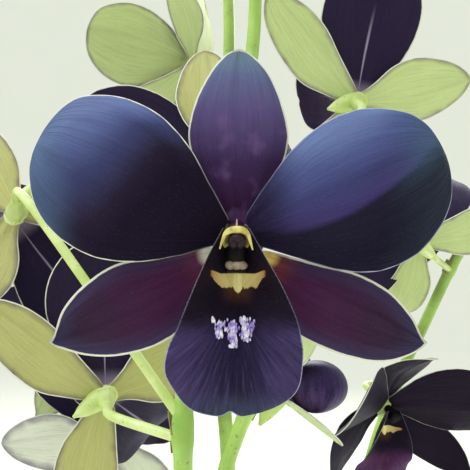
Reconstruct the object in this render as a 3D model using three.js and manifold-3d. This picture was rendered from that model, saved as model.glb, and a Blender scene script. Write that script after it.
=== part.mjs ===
// A potted dendrobium orchid in bloom: a plain pot with bark mix, four canes with strap leaves,
// and a flower spike from each cane. The nearest open flower has each of its pieces apart.
// Millimetres, +Z up. The origin is the centre of the pot's underside. Flower 1 faces -Y.
import * as THREE from 'three';
import { mergeVertices } from 'three/addons/utils/BufferGeometryUtils.js';
import Module from 'manifold-3d';

const wasm = await Module();
wasm.setup();

// Driving dimensions.
const GAP = 0.3;                // clearance between touching pieces
const POT = { height: 120, footRadius: 48, rimRadius: 66, wall: 3, floor: 5, lip: 4, lipDrop: 14 };
const DRAIN = { count: 5, radius: 5, ring: 28 };
const MIX = { top: 102, crown: 5 };
const EYE_HEIGHT = 560;         // height of the middle of flower 1
const FACE_FRONT = -85;         // where the face of flower 1 stands, in front of the pot's axis
const TEPAL_THICKNESS = 0.9;
const LIP_THICKNESS = 0.7;
const LEAF_THICKNESS = 1.3;
const PEDICEL_RADIUS = 1.15;

// Smooth curve through evenly spaced values, at share 0 to 1 of the way.
function through(values, share) {
  const last = values.length - 1;
  const place = Math.min(Math.max(share, 0), 1) * last;
  const i = Math.min(Math.floor(place), last - 1);
  const f = place - i;
  const a = values[Math.max(i - 1, 0)];
  const b = values[i];
  const c = values[i + 1];
  const d = values[Math.min(i + 2, last)];
  const cubic = 3 * (b - c) + d - a;
  return b + 0.5 * f * (c - a + f * (2 * a - 5 * b + 4 * c - d + f * cubic));
}

// Closed body over a row of rings with the same number of points, capped at both ends.
function skin(rings) {
  const count = rings[0].length;
  const points = rings.flat();
  const faces = [];
  for (let r = 0; r < rings.length - 1; r += 1) {
    for (let i = 0; i < count; i += 1) {
      const j = (i + 1) % count;
      const low = r * count;
      const high = low + count;
      faces.push(low + i, low + j, high + j, low + i, high + j, high + i);
    }
  }
  const middle = (ring) => ring.reduce((sum, p) => sum.add(p), new THREE.Vector3()).divideScalar(count);
  const start = points.length;
  points.push(middle(rings[0]), middle(rings[rings.length - 1]));
  const end = (rings.length - 1) * count;
  for (let i = 0; i < count; i += 1) {
    const j = (i + 1) % count;
    faces.push(start, j, i, start + 1, end + i, end + j);
  }
  const geometry = new THREE.BufferGeometry().setFromPoints(points);
  geometry.setIndex(faces);
  return geometry;
}

function manifoldOf(places, corners) {
  const mesh = new wasm.Mesh({
    numProp: 3,
    vertProperties: new Float32Array(places),
    triVerts: new Uint32Array(corners),
  });
  mesh.merge();
  return new wasm.Manifold(mesh);
}

// Solid with its faces pointing out, from a closed geometry wound either way.
function solid(geometry) {
  const bare = geometry.clone();
  bare.deleteAttribute('normal');
  bare.deleteAttribute('uv');
  const merged = mergeVertices(bare, 1e-4);
  const old = merged.index.array;
  const kept = [];
  for (let i = 0; i < old.length; i += 3) {
    const [a, b, c] = [old[i], old[i + 1], old[i + 2]];
    if (a !== b && b !== c && c !== a) kept.push(a, b, c);
  }
  const made = manifoldOf(merged.attributes.position.array, kept);
  return made.volume() < 0 ? manifoldOf(merged.attributes.position.array, kept.reverse()) : made;
}

function geometryOf(body) {
  const mesh = body.getMesh();
  const geometry = new THREE.BufferGeometry();
  geometry.setAttribute('position', new THREE.BufferAttribute(mesh.vertProperties.slice(), 3));
  geometry.setIndex(new THREE.BufferAttribute(mesh.triVerts.slice(), 1));
  geometry.computeVertexNormals();
  return geometry;
}

function joined(bodies) {
  return bodies.reduce((sum, body) => sum.add(body));
}

// What is left of a body in one piece, once the others are cut from it.
function cutBy(body, others) {
  const pieces = others.reduce((left, other) => left.subtract(other), body).decompose();
  return pieces.reduce((most, piece) => (piece.volume() > most.volume() ? piece : most));
}

// Thin plate around a surface given by place(along, across), across from -1 to 1.
function plate(place, { rows, columns, thickness }) {
  const step = 1e-3;
  const inset = 0.02;
  const rings = [];
  for (let r = 0; r <= rows; r += 1) {
    const along = r / rows;
    const ring = [];
    for (let side = 1; side >= -1; side -= 2) {
      for (let c = 0; c < columns; c += 1) {
        const across = side * (1 - (2 * c) / columns);
        const here = place(along, across);
        const a = Math.min(Math.max(along, inset), 1 - inset);
        const s = Math.min(across + step, 1);
        const alongLine = place(a + step, across).sub(place(a - step, across));
        const acrossLine = place(along, s).sub(place(along, s - 2 * step));
        const normal = new THREE.Vector3().crossVectors(alongLine, acrossLine);
        if (r < rows) normal.normalize();
        const edge = c === 0 || r === rows;
        ring.push(edge ? here : here.addScaledVector(normal, (side * thickness) / 2));
      }
    }
    rings.push(ring);
  }
  return solid(skin(rings));
}

function smoothLine(points) {
  return new THREE.CatmullRomCurve3(points.map((p) => new THREE.Vector3(...p)), false, 'centripetal');
}

// Round bar along a smooth line through the points, its radius running through the given values.
function bar(points, radii, { rows, sides = 8, grow = 0 }) {
  const line = smoothLine(points);
  const frames = line.computeFrenetFrames(rows, false);
  const rings = [];
  for (let r = 0; r <= rows; r += 1) {
    const middle = line.getPointAt(r / rows);
    const radius = through(radii, r / rows) + grow;
    const ring = [];
    for (let i = 0; i < sides; i += 1) {
      const angle = (2 * Math.PI * i) / sides;
      ring.push(middle.clone()
        .addScaledVector(frames.normals[r], radius * Math.cos(angle))
        .addScaledVector(frames.binormals[r], radius * Math.sin(angle)));
    }
    rings.push(ring);
  }
  return solid(skin(rings));
}

// Egg shape with its middle, its half sizes along X, Y and Z, and its turn.
function egg(middle, halves, { turn = [0, 0, 0], detail = 8, grow = 0 } = {}) {
  const geometry = new THREE.SphereGeometry(1, detail, Math.ceil(detail * 0.7));
  const [x, y, z] = halves;
  const matrix = new THREE.Matrix4().compose(
    new THREE.Vector3(...middle),
    new THREE.Quaternion().setFromEuler(new THREE.Euler(...turn)),
    new THREE.Vector3(x + grow, y + grow, z + grow),
  );
  return solid(geometry.applyMatrix4(matrix));
}

// The tepals, flat in the flower's own face plane: x to the right, z up, from base to tip.
// Half widths are given on both sides at nine stations, spaced as on a half circle.
// Depths are behind the face: at the base, the middle and the tip, and how far the edges lie back.
const TEPALS = {
  dorsal_sepal: {
    base: [0.2, 0.8], tip: [0.5, 31.9], depth: [4.6, 3.9, 5.0], edge: 1.1,
    first: [2.4, 2.6, 4.0, 7.3, 8.8, 7.6, 5.3, 2.6, 0],
    second: [2.4, 2.6, 4.3, 7.6, 9.0, 7.7, 5.5, 2.6, 0],
  },
  petal_left: {
    base: [-2.5, -0.8], tip: [-34.8, 14.7], depth: [3.3, -1.4, 2.4], edge: 2.2,
    first: [2.4, 3.5, 7.0, 10.9, 13.2, 12.8, 10.3, 5.6, 0],
    second: [2.6, 3.7, 6.5, 10.7, 13.5, 13.9, 11.9, 8.0, 0],
  },
  petal_right: {
    base: [2.7, -0.8], tip: [36.3, 13.0], depth: [3.3, -1.4, 2.2], edge: 2.2,
    first: [2.6, 3.9, 6.7, 10.3, 12.6, 12.7, 10.3, 6.6, 0],
    second: [2.4, 3.5, 6.8, 11.6, 14.5, 14.2, 11.3, 6.6, 0],
  },
  sepal_left: {
    base: [-3.3, -5.8], tip: [-33.4, -20.4], depth: [4.9, 4.0, 5.6], edge: 0.9,
    first: [2.2, 3.1, 5.2, 8.0, 8.8, 7.6, 5.0, 1.9, 0],
    second: [2.0, 2.8, 4.2, 5.8, 7.3, 6.6, 4.3, 0.8, 0],
  },
  sepal_right: {
    base: [3.5, -5.9], tip: [34.2, -20.4], depth: [4.9, 4.0, 5.6], edge: 0.9,
    first: [2.0, 2.7, 3.4, 4.4, 5.7, 5.4, 3.3, 0.5, 0],
    second: [2.2, 3.2, 5.5, 8.4, 8.9, 8.1, 6.1, 2.6, 0],
  },
};

// The lip hangs down from the column's foot. Its floor is a trough that opens into a flat front lobe.
const LIP = {
  length: 32.0,
  first: [2.2, 2.9, 4.8, 7.7, 10.3, 11.2, 10.0, 6.2, 0],
  second: [2.2, 2.9, 4.7, 7.0, 9.5, 11.9, 10.7, 7.3, 0],
  floor: [1.9, 1.9, 1.9, 1.2, -2.0, -3.4, -2.8, -1.6, -1.2],
  rim: [-1.4, -2.1, -3.6, -4.6, -4.6, -3.4, -2.2, -1.4, -1.2],
  lift: [4.6, 4.4, 2.4, 0.8, 0, 0, 0, 0, 0],
};

const shareOf = (along) => (1 - Math.cos(Math.PI * along)) / 2;

function tepalPlace(tepal, close) {
  const base = new THREE.Vector2(...tepal.base);
  const run = new THREE.Vector2(...tepal.tip).sub(base);
  const turn = Math.atan2(run.y, run.x);
  const length = run.length();
  const wide = Math.max(...tepal.first, ...tepal.second);
  const [back, middle, end] = tepal.depth;
  return (along, across) => {
    const share = shareOf(along);
    const half = through(across > 0 ? tepal.first : tepal.second, along) * across;
    const forth = length * share;
    const depth = back * (1 - share) * (1 - 2 * share) + 4 * middle * share * (1 - share)
      + end * share * (2 * share - 1) + tepal.edge * (half / wide) ** 2;
    const lean = close * forth;
    const reach = Math.cos(lean / length) * forth;
    return new THREE.Vector3(
      base.x + reach * Math.cos(turn) - half * Math.sin(turn),
      depth - Math.sin(lean / length) * forth,
      base.y + reach * Math.sin(turn) + half * Math.cos(turn),
    );
  };
}

// The lip's surface, which may lean forward about the flower's middle, in radians.
function lipPlace(lean) {
  return (along, across) => {
    const share = shareOf(along);
    const half = through(across > 0 ? LIP.first : LIP.second, along) * across;
    const floor = through(LIP.floor, along);
    const wall = Math.abs(across) ** 2.2;
    const depth = floor + (through(LIP.rim, along) - floor) * wall;
    const lift = through(LIP.lift, along) * (Math.abs(across) ** 1.6 - 1);
    const height = lift - LIP.length * share;
    return new THREE.Vector3(
      half,
      depth * Math.cos(lean) + height * Math.sin(lean),
      height * Math.cos(lean) - depth * Math.sin(lean),
    );
  };
}

// The ovary with the chin behind the lip, in the flower's own frame; the pedicel runs on from its end.
const OVARY_END = [0, 12.5, -1.5];

// Where the tepals and the column of a whole flower grow together.
function hub(grow) {
  return joined([
    egg([0, 4.7, -2.8], [5.6, 2.3, 6.8], { detail: 6, grow }),
    bar([[0, -3.2, -2.4], [0, 0, -1.6], [0, 4.5, -1.4]], [1.4, 1.3, 1.1], { rows: 2, sides: 6, grow }),
  ]);
}

function ovary(grow, detail) {
  const line = [[0, 2.3, -0.6], [0, 5, -0.8], [0, 8, -1.2], OVARY_END];
  return joined([
    bar(line, [1.3, 2.9, 2.2, 1.4], { rows: 5, sides: detail, grow }),
    egg([0, 7.2, -5.4], [3.4, 2.6, 5.4], { turn: [0.42, 0, 0], detail, grow }),
  ]);
}

// Where a flower's own frame stands: its middle, the way it faces, and the way its top points.
function standing({ at, faces, top }) {
  const back = new THREE.Vector3(...faces).normalize().negate();
  const angle = THREE.MathUtils.degToRad(top);
  const up = new THREE.Vector3(Math.cos(angle), 0, Math.sin(angle));
  up.addScaledVector(back, -up.dot(back)).normalize();
  const right = new THREE.Vector3().crossVectors(back, up);
  return new THREE.Matrix4().makeBasis(right, back, up).setPosition(...at);
}

const moved = (body, matrix) => body.transform(matrix.elements);

// Spikes: each rises from the top of a cane, past the flowers, to its bare tip.
const SPIKES = {
  spike_1: {
    line: [[-14, -32, 303], [-14, -42, 400], [-11.2, -54, 505], [-11.2, -53, 522], [-9.7, -47, 539],
      [-4.7, -41, 560], [1.2, -35, 588], [4.5, -31, 608], [4.5, -29, 640], [-1, -27, 672]],
    radii: [3.0, 2.9, 2.6, 2.5, 2.3, 2.1, 1.9, 1.7, 1.5, 0.9],
  },
  spike_2: {
    line: [[4, -18, 288], [-2, -30, 400], [-3.1, -40, 500], [2.1, -40, 517], [9.2, -43, 533.5],
      [17.1, -45, 552], [24, -46, 569], [28, -46, 577]],
    radii: [2.8, 2.6, 2.3, 2.2, 2.1, 1.9, 1.6, 1.0],
  },
  spike_3: {
    line: [[24, 30, 300], [35, 48, 400], [50, 61, 470], [63.5, 65, 506], [71.3, 60, 526],
      [79.6, 55, 547], [86.4, 53, 561], [95, 50, 592], [99, 48, 622]],
    radii: [2.8, 2.6, 2.4, 2.3, 2.2, 2.1, 2.0, 1.6, 0.9],
  },
  spike_4: {
    line: [[-6, 16, 306], [-4, 17, 400], [-2.2, 17, 486], [-6.4, 20, 539], [-4.2, 20, 587],
      [-1.9, 20, 621], [-4, 20, 655], [-13, 16, 688]],
    radii: [3.0, 2.8, 2.6, 2.4, 2.2, 2.0, 1.7, 0.9],
  },
};

// Open flowers: the middle of the face, the way it faces, the angle of its dorsal sepal seen from
// the front of the plant, the spike that carries it, and where its pedicel joins the spike.
// Tepals lean forward by close, or by their own value in bent, and the lip by lip, in radians.
const FLOWERS = {
  flower_1: {
    at: [0.2, FACE_FRONT, EYE_HEIGHT + 1.2], faces: [0, -1, 0], top: 90,
    spike: 'spike_1', joins: [-9.2, -46, 541], close: 0,
  },
  flower_2: {
    at: [34.8, -5, 598.7], faces: [0, 0.95, 0.3], top: 10,
    spike: 'spike_2', joins: [23.5, -46, 568], close: 0.1, lip: 1.05,
  },
  flower_3: {
    at: [-32.5, -27, 521], faces: [-0.3, 0.95, 0.1], top: 18,
    spike: 'spike_1', joins: [-11.2, -54, 516], close: 0.15, bent: { petal_left: 0.8 }, lip: 1.2,
  },
  flower_4: {
    at: [-59, -19, 562.5], faces: [-0.3, 0.85, -0.4], top: 241,
    spike: 'spike_1', joins: [-11.2, -54, 520], close: 0.1, lip: 0.7,
  },
  flower_5: {
    at: [-38, 5.5, 500.8], faces: [0, 1, 0.1], top: 184,
    spike: 'spike_2', joins: [-3, -36, 460], close: 0.1, lip: 0.7,
  },
  flower_6: {
    at: [-19, 52, 625], faces: [-0.8, 0.5, 0.35], top: 120,
    spike: 'spike_4', joins: [-4, 20, 592], close: 0.5,
  },
  flower_7: {
    at: [-5.4, -14, 581.8], faces: [0, 1, 0], top: 95,
    spike: 'spike_1', joins: [0.2, -36, 584], close: 0, bent: { dorsal_sepal: 0.35, petal_left: 1.0 },
  },
  flower_8: {
    at: [53.7, 35, 500.8], faces: [0.35, -0.85, -0.35], top: 88,
    spike: 'spike_3', joins: [62, 65, 503], close: 0.6,
  },
  flower_9: {
    at: [64, 44, 559], faces: [0.2, 0.95, 0.1], top: 135,
    spike: 'spike_3', joins: [79.6, 55, 547], close: 0.1, bent: { petal_left: 0.9, sepal_right: 0.7 },
    lip: 1.1,
  },
  flower_10: {
    at: [-45.9, 25, 535.4], faces: [0, 1, 0], top: 120,
    spike: 'spike_4', joins: [-5, 18, 515], close: 0.1,
  },
};

// Flower 11 is opening: its petals are still a ball.
const OPENING = {
  at: [15.5, -29, 522], faces: [1, 0.25, -0.05], top: 90, ball: 6.6,
  spike: 'spike_2', joins: [3, -40, 519],
};

// Buds near the tips of the spikes: the middle, the direction of the point, and the length.
const BUDS = [
  { spike: 'spike_1', joins: [4.4, -29.5, 632], at: [-2, -40, 644], length: 15 },
  { spike: 'spike_1', joins: [3.2, -28, 652], at: [10, -20, 664], length: 13 },
  { spike: 'spike_1', joins: [-0.6, -27, 670], at: [-6, -28, 684], length: 10 },
  { spike: 'spike_2', joins: [27.5, -46, 576], at: [35, -45, 580], length: 9 },
  { spike: 'spike_3', joins: [93, 51, 584], at: [101, 42, 596], length: 14 },
  { spike: 'spike_3', joins: [98.8, 48, 620], at: [103, 47, 633], length: 11 },
  { spike: 'spike_4', joins: [-3, 20, 645], at: [6, 26, 658], length: 14 },
  { spike: 'spike_4', joins: [-12.6, 16.3, 686], at: [-20, 12, 697], length: 11 },
];

const CANES = {
  cane_1: [[-16, -14, 94], [-20, -22, 160], [-18, -29, 230], [-14, -32, 302.4]],
  cane_2: [[9, -8, 94], [14, -14, 160], [10, -18, 230], [4, -18, 287.4]],
  cane_3: [[-8, 14, 94], [-16, 18, 160], [-12, 18, 230], [-6, 16, 305.4]],
  cane_4: [[17, 15, 94], [26, 22, 160], [26, 27, 230], [24, 30, 299.4]],
};
const CANE_RADII = [5.5, 5.0, 7.0, 8.2, 8.4, 7.8, 6.6, 5.2, 4.2];

// Leaves: the cane and the share of the way up it, the compass direction, the length and width,
// how steeply the leaf rises at its foot, and how far it turns down on its way, in degrees.
const LEAVES = [
  { cane: 'cane_1', up: 0.62, towards: 200, length: 150, width: 30, rise: 50, droop: 62 },
  { cane: 'cane_1', up: 0.78, towards: -75, length: 135, width: 28, rise: 52, droop: 60 },
  { cane: 'cane_1', up: 0.93, towards: 165, length: 115, width: 25, rise: 58, droop: 48 },
  { cane: 'cane_2', up: 0.58, towards: -40, length: 150, width: 31, rise: 48, droop: 66 },
  { cane: 'cane_2', up: 0.8, towards: -5, length: 130, width: 27, rise: 50, droop: 58 },
  { cane: 'cane_3', up: 0.6, towards: 130, length: 150, width: 31, rise: 50, droop: 64 },
  { cane: 'cane_3', up: 0.84, towards: 100, length: 125, width: 27, rise: 56, droop: 52 },
  { cane: 'cane_4', up: 0.6, towards: 25, length: 150, width: 30, rise: 48, droop: 66 },
  { cane: 'cane_4', up: 0.76, towards: 60, length: 135, width: 28, rise: 52, droop: 60 },
  { cane: 'cane_2', up: 0.95, towards: -48, length: 105, width: 24, rise: 56, droop: 44 },
  { cane: 'cane_4', up: 0.95, towards: 10, length: 105, width: 24, rise: 58, droop: 44 },
];

const COLOURS = {
  pot: ['#b9b4aa', 0.6], mix: ['#5b4231', 0.95], cane: ['#8f9a4e', 0.5], leaf: ['#3f6b2a', 0.45],
  spike: ['#8fb24a', 0.5], petal: ['#2b2140', 0.6], sepal: ['#4a2140', 0.6], lip: ['#3a2f63', 0.6],
  column: ['#b9b34a', 0.5], cap: ['#3a0f22', 0.5], pedicel: ['#b7c866', 0.5], bud: ['#3b2a4d', 0.5],
};

const orchid = new THREE.Group();

function add(name, body, look) {
  const [color, roughness] = COLOURS[look];
  const material = new THREE.MeshStandardMaterial({ color, roughness, metalness: 0 });
  const mesh = new THREE.Mesh(geometryOf(body), material);
  mesh.name = name;
  orchid.add(mesh);
}

function lathed(profile, sides = 28) {
  const points = profile.map(([radius, height]) => new THREE.Vector2(radius, height));
  return solid(new THREE.LatheGeometry(points, sides).rotateX(Math.PI / 2));
}

function potBody() {
  const { height, footRadius, rimRadius, wall, floor, lip, lipDrop } = POT;
  const radiusAt = (z) => footRadius + ((rimRadius - footRadius) * z) / height;
  const shell = lathed([
    [0, 0], [footRadius - 1.5, 0], [footRadius, 1.5],
    [radiusAt(height - lipDrop), height - lipDrop], [rimRadius + lip, height - lipDrop + 1.5],
    [rimRadius + lip, height - 1], [rimRadius + lip - 1, height], [rimRadius - wall, height],
    [footRadius - wall, floor], [0, floor],
  ]);
  const holes = Array.from({ length: DRAIN.count }, (_, i) => {
    const angle = (2 * Math.PI * i) / DRAIN.count;
    const hole = new THREE.CylinderGeometry(DRAIN.radius, DRAIN.radius, 4 * floor, 8);
    hole.rotateX(Math.PI / 2);
    hole.translate(DRAIN.ring * Math.cos(angle), DRAIN.ring * Math.sin(angle), 0);
    return solid(hole);
  });
  return cutBy(shell, holes);
}

function mixBody(canes) {
  const { height, footRadius, rimRadius, wall, floor } = POT;
  const slope = (rimRadius - footRadius) / (height - floor);
  const inner = (z) => footRadius - wall + slope * (z - floor);
  const bottom = floor + GAP;
  const fill = lathed([
    [0, bottom], [inner(bottom) - 2 * GAP, bottom], [inner(MIX.top) - 2 * GAP, MIX.top],
    [30, MIX.top + 0.6 * MIX.crown], [0, MIX.top + MIX.crown],
  ]);
  return cutBy(fill, canes);
}

const caneBody = (name, grow = 0) => bar(CANES[name], CANE_RADII, { rows: 12, sides: 8, grow });

function leafBody(leaf, canes) {
  const from = smoothLine(CANES[leaf.cane]).getPointAt(leaf.up);
  const angle = THREE.MathUtils.degToRad(leaf.towards);
  const rise = THREE.MathUtils.degToRad(leaf.rise);
  const droop = THREE.MathUtils.degToRad(leaf.droop);
  const steps = 24;
  const stride = leaf.length / steps;
  const path = [new THREE.Vector2(0, 0)];
  for (let i = 1; i <= steps; i += 1) {
    const slope = rise - droop * (i / steps) ** 1.3;
    const last = path[path.length - 1];
    path.push(new THREE.Vector2(last.x + stride * Math.cos(slope), last.y + stride * Math.sin(slope)));
  }
  const out = path.map((p) => p.x);
  const high = path.map((p) => p.y);
  const halves = [4.5, 5.5, 9, 13, 15, 14.5, 11.5, 6.5, 0].map((w) => (w * leaf.width) / 30);
  const place = (along, across) => {
    const share = shareOf(along);
    const half = through(halves, along) * across;
    const fold = 0.35 * Math.abs(half) + (1 - share) ** 4 * 3 * Math.abs(across);
    const reach = through(out, share);
    return new THREE.Vector3(
      from.x + reach * Math.cos(angle) - half * Math.sin(angle),
      from.y + reach * Math.sin(angle) + half * Math.cos(angle),
      from.z + through(high, share) + fold,
    );
  };
  return cutBy(plate(place, { rows: 8, columns: 3, thickness: LEAF_THICKNESS }), canes);
}

const spikeBody = (name, grow = 0) => {
  const { line, radii } = SPIKES[name];
  return bar(line, radii, { rows: 20, sides: 6, grow });
};

// Bar from a flower's ovary to its spike, cut back to leave a clearance to the spike.
function stalk(matrix, joins, spike, fineness) {
  const start = [[0, 9, -1.3], OVARY_END, [0, 17, -1.6]];
  const points = start.map((p) => new THREE.Vector3(...p).applyMatrix4(matrix).toArray());
  const radii = [PEDICEL_RADIUS, PEDICEL_RADIUS, PEDICEL_RADIUS];
  return cutBy(bar([...points, joins], radii, fineness), [spike]);
}

function tepalBody(tepal, close, fineness, room = 0) {
  return plate(tepalPlace(tepal, close), { ...fineness, thickness: TEPAL_THICKNESS + 2 * room });
}

function lipBody(lean, fineness, room = 0) {
  return plate(lipPlace(lean), { ...fineness, thickness: LIP_THICKNESS + 2 * room });
}

function columnBody() {
  const top = [[0, 1.9, -1.2], [0, 0, -1.6], [0, -3.2, -2.4]];
  const hood = bar(top, [1.3, 1.6, 2.1, 2.2], { rows: 4, sides: 10 });
  const below = [[0, -0.2, -3.2], [0, 0, -5.4], [0, 0, -7.4]];
  const foot = bar(below, [0.9, 1.0, 0.8], { rows: 3, sides: 8 });
  const hollow = egg([0, -4.2, -3.0], [1.6, 3.0, 1.6], { detail: 10 });
  return cutBy(joined([hood, foot]), [hollow, lipBody(0, { rows: 11, columns: 6 }, GAP)]);
}

const capBody = () => egg([0, -3.0, -3.0], [1.05, 1.1, 1.05], { detail: 8 });

function firstFlower() {
  const flower = FLOWERS.flower_1;
  const matrix = standing(flower);
  const fineness = { rows: 10, columns: 6 };
  const keepOut = ovary(GAP, 10);
  for (const [name, tepal] of Object.entries(TEPALS)) {
    const body = cutBy(tepalBody(tepal, flower.close, fineness), [keepOut]);
    add(`flower_1_${name}`, moved(body, matrix), name.startsWith('petal') ? 'petal' : 'sepal');
  }
  const lip = cutBy(lipBody(0, { rows: 11, columns: 6 }), [keepOut]);
  add('flower_1_lip', moved(lip, matrix), 'lip');
  add('flower_1_column', moved(columnBody(), matrix), 'column');
  add('flower_1_anther_cap', moved(capBody(), matrix), 'cap');
  const spike = spikeBody(flower.spike, GAP);
  const stem = stalk(matrix, flower.joins, spike, { rows: 8, sides: 8 });
  add('flower_1_pedicel', joined([moved(ovary(0, 10), matrix), stem]), 'pedicel');
}

function laterFlower(name) {
  const flower = FLOWERS[name];
  const matrix = standing(flower);
  const tepals = (room) => Object.entries(TEPALS).map(([part, tepal]) => {
    const rooted = { ...tepal, base: tepal.base.map((place) => 0.4 * place) };
    const close = flower.bent?.[part] ?? flower.close;
    return tepalBody(rooted, close, { rows: 5, columns: 3 }, room);
  });
  const spike = spikeBody(flower.spike, GAP);
  const face = joined([...tepals(0), ovary(0, 5), hub(0)]);
  const back = stalk(matrix, flower.joins, spike, { rows: 5, sides: 5 });
  add(name, joined([moved(face, matrix), back]), 'petal');
  const lip = lipBody(flower.lip ?? 0, { rows: 6, columns: 3 });
  add(`${name}_lip`, moved(cutBy(lip, [ovary(GAP, 5), hub(GAP), ...tepals(GAP)]), matrix), 'lip');
}

// A bud is an egg with a chin, drawn out to its pedicel.
function budBody({ at, joins, spike, length }) {
  const middle = new THREE.Vector3(...at);
  const along = middle.clone().sub(new THREE.Vector3(...joins)).normalize();
  const place = (share) => middle.clone().addScaledVector(along, share * length).toArray();
  const stem = PEDICEL_RADIUS * 0.8;
  const path = [joins, place(-0.6), place(-0.35), place(0), place(0.3), place(0.5)];
  const swelling = [0.21, 0.3, 0.3, 0.2].map((share) => share * length);
  const radii = [stem, stem, stem, stem, stem, ...swelling, 0.3];
  return cutBy(bar(path, radii, { rows: 9, sides: 6 }), [spikeBody(spike, GAP)]);
}

// The sepals of the opening flower stand back from its ball of petals: the angle about its axis,
// how far each turns outwards on its way, in radians, and its length.
const OPENING_SEPALS = [
  { angle: 85, droop: 0.63, length: 22 },
  { angle: 264, droop: 0.14, length: 21 },
  { angle: 0, droop: 0.3, length: 22 },
];

function openingSepal({ angle, droop, length }, room = 0) {
  const turn = THREE.MathUtils.degToRad(angle);
  const halves = [2.2, 3.0, 4.6, 6.6, 7.4, 6.6, 4.6, 2.2, 0];
  const side = new THREE.Vector3(-Math.sin(turn), 0, Math.cos(turn));
  const out = new THREE.Vector3(Math.cos(turn), 0, Math.sin(turn));
  const place = (along, across) => {
    const share = shareOf(along);
    const swing = 0.5 + droop * share;
    const away = 2.2 + length * Math.sin(swing) * share;
    const half = through(halves, along) * across;
    const depth = 4.6 - length * Math.cos(swing) * share + 0.015 * half * half;
    return new THREE.Vector3(0, depth, 0).addScaledVector(out, away).addScaledVector(side, half);
  };
  return plate(place, { rows: 6, columns: 3, thickness: TEPAL_THICKNESS + 2 * room });
}

function openingFlower() {
  const { ball, spike, joins } = OPENING;
  const matrix = standing(OPENING);
  const cup = (grow) => egg([0, 4.6, 0.1], [3.7, 2.2, 3.8], { detail: 7, grow });
  const sepals = OPENING_SEPALS.map((sepal) => openingSepal(sepal));
  const back = joined([...sepals, cup(0), ovary(0, 5)]);
  const stem = stalk(matrix, joins, spikeBody(spike, GAP), { rows: 6, sides: 6 });
  add('flower_11', joined([moved(back, matrix), stem]), 'sepal');
  const petals = egg([0, -5.6, 0], [ball, ball * 1.15, ball], { detail: 12 });
  const around = OPENING_SEPALS.map((sepal) => openingSepal(sepal, GAP));
  add('flower_11_petals', moved(cutBy(petals, [cup(0.4), ovary(GAP, 5), ...around]), matrix), 'bud');
}

const canes = Object.keys(CANES).map((name) => caneBody(name));
const wideCanes = Object.keys(CANES).map((name) => caneBody(name, GAP));
add('pot', potBody(), 'pot');
add('potting_mix', mixBody(wideCanes), 'mix');
Object.keys(CANES).forEach((name, i) => add(name, canes[i], 'cane'));
LEAVES.forEach((leaf, i) => add(`leaf_${i + 1}`, leafBody(leaf, wideCanes), 'leaf'));
Object.keys(SPIKES).forEach((name) => add(name, spikeBody(name), 'spike'));
firstFlower();
Object.keys(FLOWERS).filter((name) => name !== 'flower_1').forEach(laterFlower);
openingFlower();
BUDS.forEach((bud, i) => add(`bud_${i + 1}`, budBody(bud), 'bud'));

export default orchid;
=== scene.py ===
"""The looks of a potted dendrobium orchid with nearly black flowers.

Every shape is worked out in millimetres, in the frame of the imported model: the origin is the
centre of the pot's underside, +Z is up and flower 1 faces -Y.
"""
import math

import bpy
import numpy as np
from mathutils import Matrix


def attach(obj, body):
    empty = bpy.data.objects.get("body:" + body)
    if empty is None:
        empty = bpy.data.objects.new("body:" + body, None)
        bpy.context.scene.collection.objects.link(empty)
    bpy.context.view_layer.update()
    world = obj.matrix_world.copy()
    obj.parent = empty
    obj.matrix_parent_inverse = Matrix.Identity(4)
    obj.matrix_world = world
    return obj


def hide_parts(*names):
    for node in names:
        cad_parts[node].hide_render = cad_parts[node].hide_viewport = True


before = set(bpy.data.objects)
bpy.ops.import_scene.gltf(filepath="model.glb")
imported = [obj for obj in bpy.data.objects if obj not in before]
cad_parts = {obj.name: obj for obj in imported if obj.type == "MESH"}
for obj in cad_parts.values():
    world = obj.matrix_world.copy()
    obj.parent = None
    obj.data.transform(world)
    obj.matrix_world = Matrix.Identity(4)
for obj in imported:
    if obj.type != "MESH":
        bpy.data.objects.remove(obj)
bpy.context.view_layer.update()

MM = 0.001
EYE_HEIGHT = 560.0       # height of the middle of flower 1
FACE_FRONT = -85.0       # where the face of flower 1 stands, in front of the pot's axis
CAMERA_AWAY = 120.0      # from the camera to the face of flower 1
FOCAL_PIXELS = 702.0     # focal length, in pixels of the picture
PICTURE_PIXELS = 470.0   # width of the picture
NO_MARGIN = 99.0         # distance to the margin given to bodies that have no margin


# Curves and small vector helpers.

def unit(vector):
    vector = np.asarray(vector, float)
    return vector / np.linalg.norm(vector)


def through(values, share):
    """Smooth curve through evenly spaced values, at share 0 to 1 of the way."""
    values = np.asarray(values, float)
    last = len(values) - 1
    place = np.clip(share, 0, 1) * last
    i = np.minimum(np.floor(place).astype(int), last - 1)
    f = place - i
    a = values[np.maximum(i - 1, 0)]
    b = values[i]
    c = values[i + 1]
    d = values[np.minimum(i + 2, last)]
    return b + 0.5 * f * (c - a + f * (2 * a - 5 * b + 4 * c - d + f * (3 * (b - c) + d - a)))


def share_of(along):
    return (1 - np.cos(np.pi * along)) / 2


def smoothstep(low, high, value):
    f = np.clip((value - low) / (high - low), 0, 1)
    return f * f * (3 - 2 * f)


def sampled(line, shares, at):
    """Values of a line in between its points, which lie at the given shares."""
    return np.stack([np.interp(at, shares, line[:, k]) for k in range(3)], axis=1)


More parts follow.
